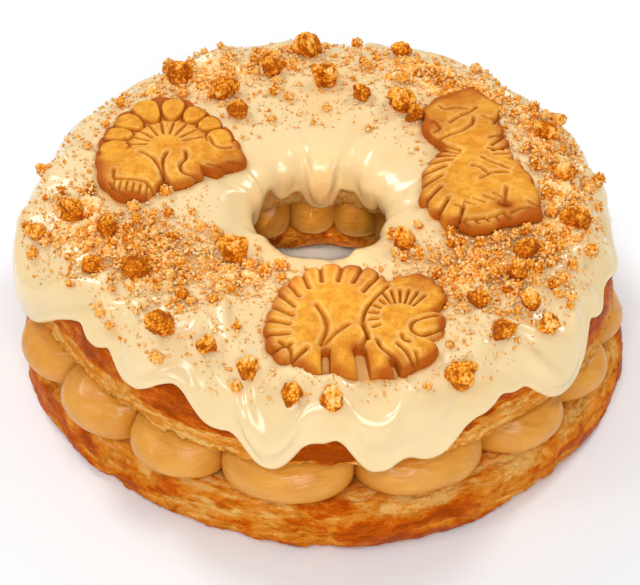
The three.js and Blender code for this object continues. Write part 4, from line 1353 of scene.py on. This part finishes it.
def chunky(unit, count, random):
    """How far each of several broken chunks reaches along each way of a unit ball.

    A chunk is cut by flat sides at uneven distances. The reach is the smooth least of the distances to those
    sides: the sum of their inverses to the tenth power, to the power -1/10.
    """
    turn = np.arange(CHUNK_SIDES) * 2.4  # near the golden angle, so the sides are spread evenly
    level = 1 - (2 * np.arange(CHUNK_SIDES) + 1) / CHUNK_SIDES
    flat = np.sqrt(1 - level**2)
    sides = np.stack([flat * np.cos(turn), flat * np.sin(turn), level], -1)
    sides = sides + 0.25 * random.normal(size=(count, CHUNK_SIDES, 3))
    sides /= np.linalg.norm(sides, axis=-1, keepdims=True)
    sides /= random.uniform(0.74, 1.04, (count, CHUNK_SIDES, 1))
    facing = np.maximum(np.einsum("ck,nsk->ncs", unit, sides), 0)
    return np.minimum((facing**10).sum(-1) ** (-1 / 10), 1.3)


def granular(points, seed):
    """Height and tone of broken biscuit: uneven grains of 1 to 2 mm in clumps of 4 to 5 mm, with hollows."""
    moved = points + 0.7 * noise(points / 1.9, seed + 3)[..., None]
    grain = np.sqrt(np.maximum(0.42 - pits(moved / 1.75, seed) ** 2, 0))
    clump = np.sqrt(np.maximum(0.55 - pits(moved / 4.6, seed + 5) ** 2, 0))
    hollow = ramp(noise(points / 2.5, seed + 7), 0.1, 0.7)
    rough = layered(points / 1.6, 2, seed + 11)
    height = 0.9 * (grain - 0.4) + 1.7 * (clump - 0.4) - 0.9 * hollow + 0.35 * rough
    # painted light and shade: the tone is paler on the tops of grains and clumps and darker in the hollows
    tone = 0.4 * (grain - 0.4) + 0.45 * (clump - 0.35) - 0.5 * hollow + 0.16 * noise(points / 3.3, seed + 9)
    return height, tone


def lump_piece(ground):
    """Points, faces and tones of the large lumps: broken chunks with a granular skin, palest on top by
    painted light.

    One side of each is the biscuit's smooth, browned outside.
    """
    random = np.random.default_rng(7)
    unit, faces = small_ball(40, 75)
    angle, radius, size = np.array(LUMPS).T
    count = len(LUMPS)
    spot, normal = ground.at(angle, radius)
    half = size[:, None] / 2 * random.uniform(0.86, 1.12, (count, 3))
    centres = spot + normal * (0.33 * size)[:, None]
    points, faces = balls(unit, faces, centres, half, upright(normal, 5), 0, 1)
    middle = np.repeat(centres, len(unit), 0)
    points = middle + (points - middle) * chunky(unit, count, random).reshape(-1, 1)
    out = points - middle
    out /= np.linalg.norm(out, axis=-1, keepdims=True)
    height, tone = granular(points, 201)
    # painted light: the tone rises where a point faces upwards
    tone = 0.9 * tone + np.repeat(random.uniform(0.04, 0.28, count), len(unit)) + 0.2 * out[:, 2]
    way = random.normal(size=(count, 3)) + (0, -0.5, 0.2)
    way /= np.linalg.norm(way, axis=-1, keepdims=True)
    baked = ramp((out * np.repeat(way, len(unit), 0)).sum(-1), 0.45, 0.75)
    height = 0.85 * height * (1 - 0.55 * baked)
    return points + out * height[:, None], faces, np.clip(tone * (1 - 0.5 * baked), -0.2, 1), centres, size


BED_COLUMNS, BED_RINGS = 230, 52


def bed_piece(ground):
    """Points, faces and tones of the beds of fine crumble: a granular mat at each heap, down into the icing.

    Each bed is a grid of rings round the heap's middle, closed by two poles. It covers the icing where 1 less
    the square of the distance from the middle, plus broad noise, is above 0, clear of the biscuits.
    """
    c, s = aimed(np.arange(BED_COLUMNS) / BED_COLUMNS * 360)
    share = np.linspace(0.015, 1.5, BED_RINGS)[:, None]
    last_rings = np.repeat(np.arange(BED_RINGS), BED_COLUMNS) > BED_RINGS - 3
    points, faces, tones = [], [], []
    for number, (angle, wide, radius, deep, _, pile) in enumerate(HEAPS):
        spot, normal = ground.at((angle + wide * share * c).ravel(), (radius + deep * share * s).ravel())
        cover = 1 - (share**2 + 0 * c).ravel() + 0.75 * layered(spot / 9, 3, 231) - 0.2
        biscuits = np.max([inside_biscuit(spec, unlay(spec, spot)) for spec in BISCUITS.values()], 0)
        cover = np.where(last_rings, -2, np.minimum(cover, 0.25 - 0.35 * biscuits))
        height, tone = granular(spot, 241)
        lift = ramp(cover, -0.3, 0.25) * 1.5 - 1.4 + 0.6 * pile * ramp(cover, 0.05, 0.9)
        lift += (1.25 * height + 0.4) * ramp(cover, -0.35, 0.15)
        bed = spot + normal * lift[:, None]
        poles = [bed[:BED_COLUMNS].mean(0), spot[:BED_COLUMNS].mean(0) - 4 * normal[0]]
        points += [bed, poles]
        tones += [0.56 + 1.3 * tone + 0.16 * noise(spot / 12, 251), [0.6, 0.6]]
        faces.append([f + number * (len(bed) + len(poles)) for f in ball_faces(BED_RINGS, BED_COLUMNS)])
    faces = [np.concatenate(group) for group in zip(*faces)]
    return np.concatenate(points), faces, np.concatenate(tones).clip(0, 1)


def crumb_piece(ground, lump_centres, lump_sizes):
    """Points, faces and tones of crumbs, rough balls clear of the lumps, and their centres and sizes."""
    random = np.random.default_rng(11)
    angle, radius, pile = scattered(random, CRUMB_COUNT * 3, 0.24)
    size = CRUMB_SIZES[0] + CRUMB_SIZES[1] * random.random(len(angle)) ** 1.6
    spot, normal = ground.at(angle, radius)
    keep = clear_of_biscuits(spot, size / 2) & ground.holds(angle, radius)
    away = np.linalg.norm(spot[:, None] - lump_centres[None], axis=-1)
    keep &= (away > (size[:, None] + lump_sizes[None]) / 2).all(1)
    chosen = np.flatnonzero(keep)[:CRUMB_COUNT]
    spot, normal, size, pile = spot[chosen], normal[chosen], size[chosen], pile[chosen]
    centres = spot + normal * (0.3 * size + pile)[:, None]
    unit, faces = small_ball(5, 8)
    half = 0.45 * size[:, None] * random.uniform(0.75, 1.1, (len(size), 3))
    points, faces = balls(unit, faces, centres, half, upright(normal, 15), 0.16, 17)
    tone = np.repeat(random.uniform(0.08, 0.6, len(size)), len(unit))
    return points, faces, tone, centres, size


def grain_piece(centres, normals, size, seed, low, high):
    """Points, faces and tones of grains: small uneven balls, with tones from low to high."""
    random = np.random.default_rng(seed)
    unit, faces = small_ball(2, 5)
    half = size[:, None] / 2 * random.uniform(0.7, 1.25, (len(size), 3))
    points, faces = balls(unit, faces, centres, half, upright(normals, seed), 0.22, seed + 1)
    return points, faces, np.repeat(random.uniform(low, high, len(size)), len(unit))


def cluster_piece(random, crumbs, crumb_sizes):
    """Grains stuck all round each crumb, which make it granular."""
    each = np.clip((crumb_sizes * 4.5).astype(int), 8, 26)
    owner = np.repeat(np.arange(len(crumbs)), each)
    way = random.normal(size=(len(owner), 3))
    way /= np.linalg.norm(way, axis=-1, keepdims=True)
    centres = crumbs[owner] + way * (crumb_sizes[owner] * 0.42)[:, None]
    return grain_piece(centres, way, random.uniform(1.0, 1.8, len(owner)), 33, 0.3, 0.85)


def loose_piece(ground, random, largest, count, least, loose, power, overlap, rise, seed, tones):
    """Loose grains on the icing and its heaps, off the biscuits but for an overlap.

    A size is the least plus the rest of the range times a random number to a power. A grain's middle stands
    rise times its size above the icing, and loose is the share that lies anywhere.
    """
    angle, radius, pile = scattered(random, count, loose)
    size = least + (largest - least) * random.random(count) ** power
    spot, normal = ground.at(angle, radius)
    keep = clear_of_biscuits(spot, size / 2 - overlap) & ground.holds(angle, radius)
    spot, normal, size, pile = spot[keep], normal[keep], size[keep], pile[keep]
    return grain_piece(spot + normal * (rise * size + pile)[:, None], normal, size, seed, *tones)


# ---- Settings -----------------------------------------------------------------------------------


def colour_property(name, code, description):
    """A colour setting whose default is an sRGB hex value in linear light."""
    return bpy.props.FloatVectorProperty(
        name=name, description=description, subtype="COLOR", size=3, min=0, max=1, default=linear(code)
    )


class CakeColours(bpy.types.PropertyGroup):
    """Colours of the cake's finishes."""

    crust: colour_property("Crust", "#dc6208", "Brown skin of the bread")
    crust_gold: colour_property("Golden crust", "#ec9024", "Lighter patches of the skin")
    crust_dark: colour_property("Dark crust", "#b04802", "Skin that the oven browned most")
    crumb: colour_property("Crumb", "#ffc66c", "Torn inside of the bread")
    crumb_shade: colour_property("Crumb shade", "#f69e3c", "Hollows of the torn crumb")
    cream: colour_property("Cream", "#e29e3c", "Piped cream")
    cream_shade: colour_property("Cream shade", "#d69030", "Darker streaks of the cream")
    icing: colour_property("Icing", "#f2daa9", "Poured icing")
    icing_shade: colour_property("Icing shade", "#edce96", "Thicker, yellower icing")
    # the tint of thinner icing, also painted shade in valleys, low in the hole and round the biscuits
    icing_thin: colour_property("Thin icing", "#f0b868", "Icing that ran thin over the bread")
    biscuit: colour_property("Biscuit", "#ffb83e", "Face of a biscuit")
    biscuit_shade: colour_property("Biscuit shade", "#e8921e", "Darker speckles of the face")
    # painted highlight on the raised sides of the stamped lines
    biscuit_side_highlight: colour_property("Pale biscuit", "#ffe096", "Raised edges beside the stamped lines")
    # painted shadow in the stamped lines
    biscuit_line_shadow: colour_property("Biscuit line", "#aa580a", "Stamped lines")
    biscuit_rim: colour_property("Biscuit rim", "#be5e06", "Browned edge")
    crumble: colour_property("Crumble", "#ffae36", "Crumble of middling brown")
    # painted shade in the gaps between granules, and real scorched bits
    crumble_dark: colour_property("Dark crumble", "#aa5408", "Gaps and scorched bits of the crumble")
    crumble_brown: colour_property("Brown crumble", "#da7608", "Browned outside of the crumble")
    # the pale broken inside, and painted light on the tops of grains and lumps
    crumble_pale: colour_property("Pale crumble", "#ffe4a8", "Inside of the crumble")


class CakeSizes(bpy.types.PropertyGroup):
    """Sizes of the smallest toppings and of the view."""

    grain: bpy.props.FloatProperty(
        name="Grain", description="Largest loose grain of crumble", default=0.0021, min=0.0005, max=0.004,
        unit="LENGTH",
    )
    dust: bpy.props.FloatProperty(
        name="Dust", description="Largest speck of biscuit dust", default=0.0009, min=0.0002, max=0.002,
        unit="LENGTH",
    )
    distance: bpy.props.FloatProperty(
        name="Camera distance", description="From the camera to the cake", default=0.875, min=0.3,
        unit="LENGTH",
    )
    elevation: bpy.props.FloatProperty(
        name="Camera elevation", description="Angle of the view above the table", default=np.radians(40),
        subtype="ANGLE",
    )


# ---- Operators ----------------------------------------------------------------------------------

_made = {}


class CAKE_OT_lower_half(bpy.types.Operator):
    """Make the lower half of the bread"""

    bl_idname = "cake.lower_half"
    bl_label = "Lower Half"

    def execute(self, context):
        points, skin = base_surface()
        _made["crust"] = baked_crust(context.scene.cake_colours)
        make_ring("bread_base", points, _made["crust"], "crust", "bun_base", **skin)
        return {"FINISHED"}


class CAKE_OT_cream(bpy.types.Operator):
    """Make the ring of piped cream"""

    bl_idname = "cake.cream"
    bl_label = "Cream"

    def execute(self, context):
        material = piped_cream(context.scene.cake_colours)
        make_ring("piped_cream", cream_surface(), material, "cream", "cream_ring")
        return {"FINISHED"}


class CAKE_OT_upper_half(bpy.types.Operator):
    """Make the upper half of the bread"""

    bl_idname = "cake.upper_half"
    bl_label = "Upper Half"

    def execute(self, context):
        points, skin = bun_surface()
        make_ring("bread_top", points, _made["crust"], "crust", "bun_top", **skin)
        return {"FINISHED"}


class CAKE_OT_icing(bpy.types.Operator):
    """Make the poured icing"""

    bl_idname = "cake.icing"
    bl_label = "Icing"

    def execute(self, context):
        points, thin = icing_surface()
        _made["ground"] = Ground(points)
        material = poured_icing(context.scene.cake_colours)
        make_ring("poured_icing", points, material, "icing", "icing", thin=thin)
        return {"FINISHED"}


class CAKE_OT_biscuits(bpy.types.Operator):
    """Make the three moulded biscuits"""

    bl_idname = "cake.biscuits"
    bl_label = "Biscuits"

    def execute(self, context):
        material = baked_biscuit(context.scene.cake_colours)
        for name, spec in BISCUITS.items():
            points, rim, line = biscuit_surface(spec)
            faces = ball_faces(len(points) // BISCUIT_COLUMNS, BISCUIT_COLUMNS)
            make_piece(name + "_baked", points, faces, material, "biscuit", [name], rim=rim, line=line)
        return {"FINISHED"}


class CAKE_OT_crumble(bpy.types.Operator):
    """Make the lumps, crumbs, grains and dust of crushed biscuit"""

    bl_idname = "cake.crumble"
    bl_label = "Crumble"

    def execute(self, context):
        sizes = context.scene.cake_sizes
        ground = _made["ground"]
        material = biscuit_crumble(context.scene.cake_colours)

        def make(name, points, faces, tone, nodes=()):
            make_piece(name, points, faces, material, "crumble", nodes, tone=tone)

        *lump, lumps, lump_sizes = lump_piece(ground)
        make("crumble_lumps", *lump, [f"crumb_lump_{i + 1:02d}" for i in range(len(LUMPS))])
        *crumb, crumbs, crumb_sizes = crumb_piece(ground, lumps, lump_sizes)
        make("crumble_crumbs", *crumb)
        make("crumble_beds", *bed_piece(ground))
        random = np.random.default_rng(31)
        make("crumble_clusters", *cluster_piece(random, crumbs, crumb_sizes))
        make("crumble_grains", *loose_piece(ground, random, sizes.grain / MM, *GRAINS))
        make("crumble_dust", *loose_piece(ground, random, sizes.dust / MM, *DUST))
        return {"FINISHED"}


TABLE_REACH = 2.2  # half the table's width
LOOK_HEIGHT = 0.031  # height of the point that the camera looks at
LENS, SENSOR_WIDTH = 120.1, 36  # millimetres
NEAREST, FURTHEST = 0.05, 20  # what the camera sees lies between
WORLD_STRENGTH = 0.35
WHITE = (1, 1, 1)
LIGHTS = [  # name, size, power, place, target, spread in degrees, tint
    ("key_light", 0.4, 6.4, (-0.7, 0.62, 1.0), (0, 0, 0.05), 180, WHITE),
    ("right_light", 0.3, 4.9, (0.72, 0.62, 1.02), (0, 0, 0.05), 180, WHITE),
    ("front_fill", 0.5, 8.0, (0.2, -1.35, 0.82), (0, 0.04, 0.04), 180, WHITE),
    ("front_window", 0.2, 3, (-0.12, -0.8, 1.0), (0, 0.03, 0.04), 180, WHITE),
    ("left_window", 0.18, 1.6, (-0.95, -0.5, 0.9), (0, 0, 0.04), 180, WHITE),
    # a narrow beam reaches down into the hole, warm as light is between icing and cream
    ("hole_light", 0.03, 0.0058, (0, -0.45, 0.42), (0, 0.042, 0.028), 6, (1, 0.86, 0.6)),
]


def placed(name, data, place, way):
    """Puts a light or camera in the scene, looking along a way."""
    holder = bpy.data.objects.new(name, data)
    holder.location = place
    holder.rotation_euler = Vector(way).to_track_quat("-Z", "Y").to_euler()
    bpy.context.scene.collection.objects.link(holder)
    return holder


def soft_light(name, size, power, place, target, spread, tint):
    """A square area light aimed at a target, its beam fanning out by spread degrees."""
    light = bpy.data.lights.new(name, "AREA")
    light.shape, light.size, light.energy, light.color = "SQUARE", size, power, tint
    light.spread = np.radians(spread)
    placed(name, light, place, Vector(target) - Vector(place))


class CAKE_OT_stage(bpy.types.Operator):
    """Make the white table, the soft lights and the camera"""

    bl_idname = "cake.stage"
    bl_label = "Table, Lights and Camera"

    def execute(self, context):
        scene, sizes = context.scene, context.scene.cake_sizes
        mesh = bpy.data.meshes.new("table")
        corners = [(x * TABLE_REACH, y * TABLE_REACH, 0) for x, y in ((-1, -1), (1, -1), (1, 1), (-1, 1))]
        mesh.from_pydata(corners, [], [(0, 1, 2, 3)])
        # matt white laminate, a shade cool
        paint, tree, _ = new_finish("white_table")
        shader = add(tree, "BsdfPrincipled", {"Base Color": rgba(linear("#f9fcff")), "Roughness": 0.9})[0]
        add(tree, "OutputMaterial", {"Surface": shader})
        mesh.materials.append(paint)
        table = bpy.data.objects.new("table", mesh)
        scene.collection.objects.link(table)

        for light in LIGHTS:
            soft_light(*light)
        world = bpy.data.worlds.new("studio")
        world.use_nodes = True
        background = world.node_tree.nodes["Background"].inputs
        background["Color"].default_value = (*WHITE, 1)
        background["Strength"].default_value = WORLD_STRENGTH
        scene.world = world
        scene.view_settings.view_transform = "Standard"

        camera = bpy.data.cameras.new("camera")
        camera.lens, camera.sensor_width = LENS, SENSOR_WIDTH
        camera.clip_start, camera.clip_end = NEAREST, FURTHEST
        away = Vector(np.array([0, -np.cos(sizes.elevation), np.sin(sizes.elevation)]) * sizes.distance)
        middle = Vector((RING_CENTRE[0] * MM, RING_CENTRE[1] * MM, LOOK_HEIGHT))
        scene.camera = placed("camera", camera, middle + away, -away)
        return {"FINISHED"}


class CAKE_PT_panel(bpy.types.Panel):
    """The cake's steps and settings in the sidebar"""

    bl_label = "King Cake"
    bl_idname = "CAKE_PT_panel"
    bl_space_type = "VIEW_3D"
    bl_region_type = "UI"
    bl_category = "Cake"

    def draw(self, context):
        for operator in STEPS:
            self.layout.operator(operator.bl_idname)
        for group in (context.scene.cake_sizes, context.scene.cake_colours):
            for name in group.bl_rna.properties.keys():
                if name not in ("rna_type", "name"):
                    self.layout.prop(group, name)


STEPS = (
    CAKE_OT_lower_half,
    CAKE_OT_cream,
    CAKE_OT_upper_half,
    CAKE_OT_icing,
    CAKE_OT_biscuits,
    CAKE_OT_crumble,
    CAKE_OT_stage,
)
CLASSES = (CakeColours, CakeSizes, *STEPS, CAKE_PT_panel)


def register():
    """Adds the settings, the steps and the panel to Blender."""
    for cls in CLASSES:
        bpy.utils.register_class(cls)
    bpy.types.Scene.cake_colours = bpy.props.PointerProperty(type=CakeColours)
    bpy.types.Scene.cake_sizes = bpy.props.PointerProperty(type=CakeSizes)


def unregister():
    """Takes away what register added."""
    del bpy.types.Scene.cake_colours
    del bpy.types.Scene.cake_sizes
    for cls in reversed(CLASSES):
        bpy.utils.unregister_class(cls)


def main():
    """Registers the add-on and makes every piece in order."""
    register()
    bpy.ops.cake.lower_half()
    bpy.ops.cake.cream()
    bpy.ops.cake.upper_half()
    bpy.ops.cake.icing()
    bpy.ops.cake.biscuits()
    bpy.ops.cake.crumble()
    bpy.ops.cake.stage()


if __name__ == "__main__":
    main()
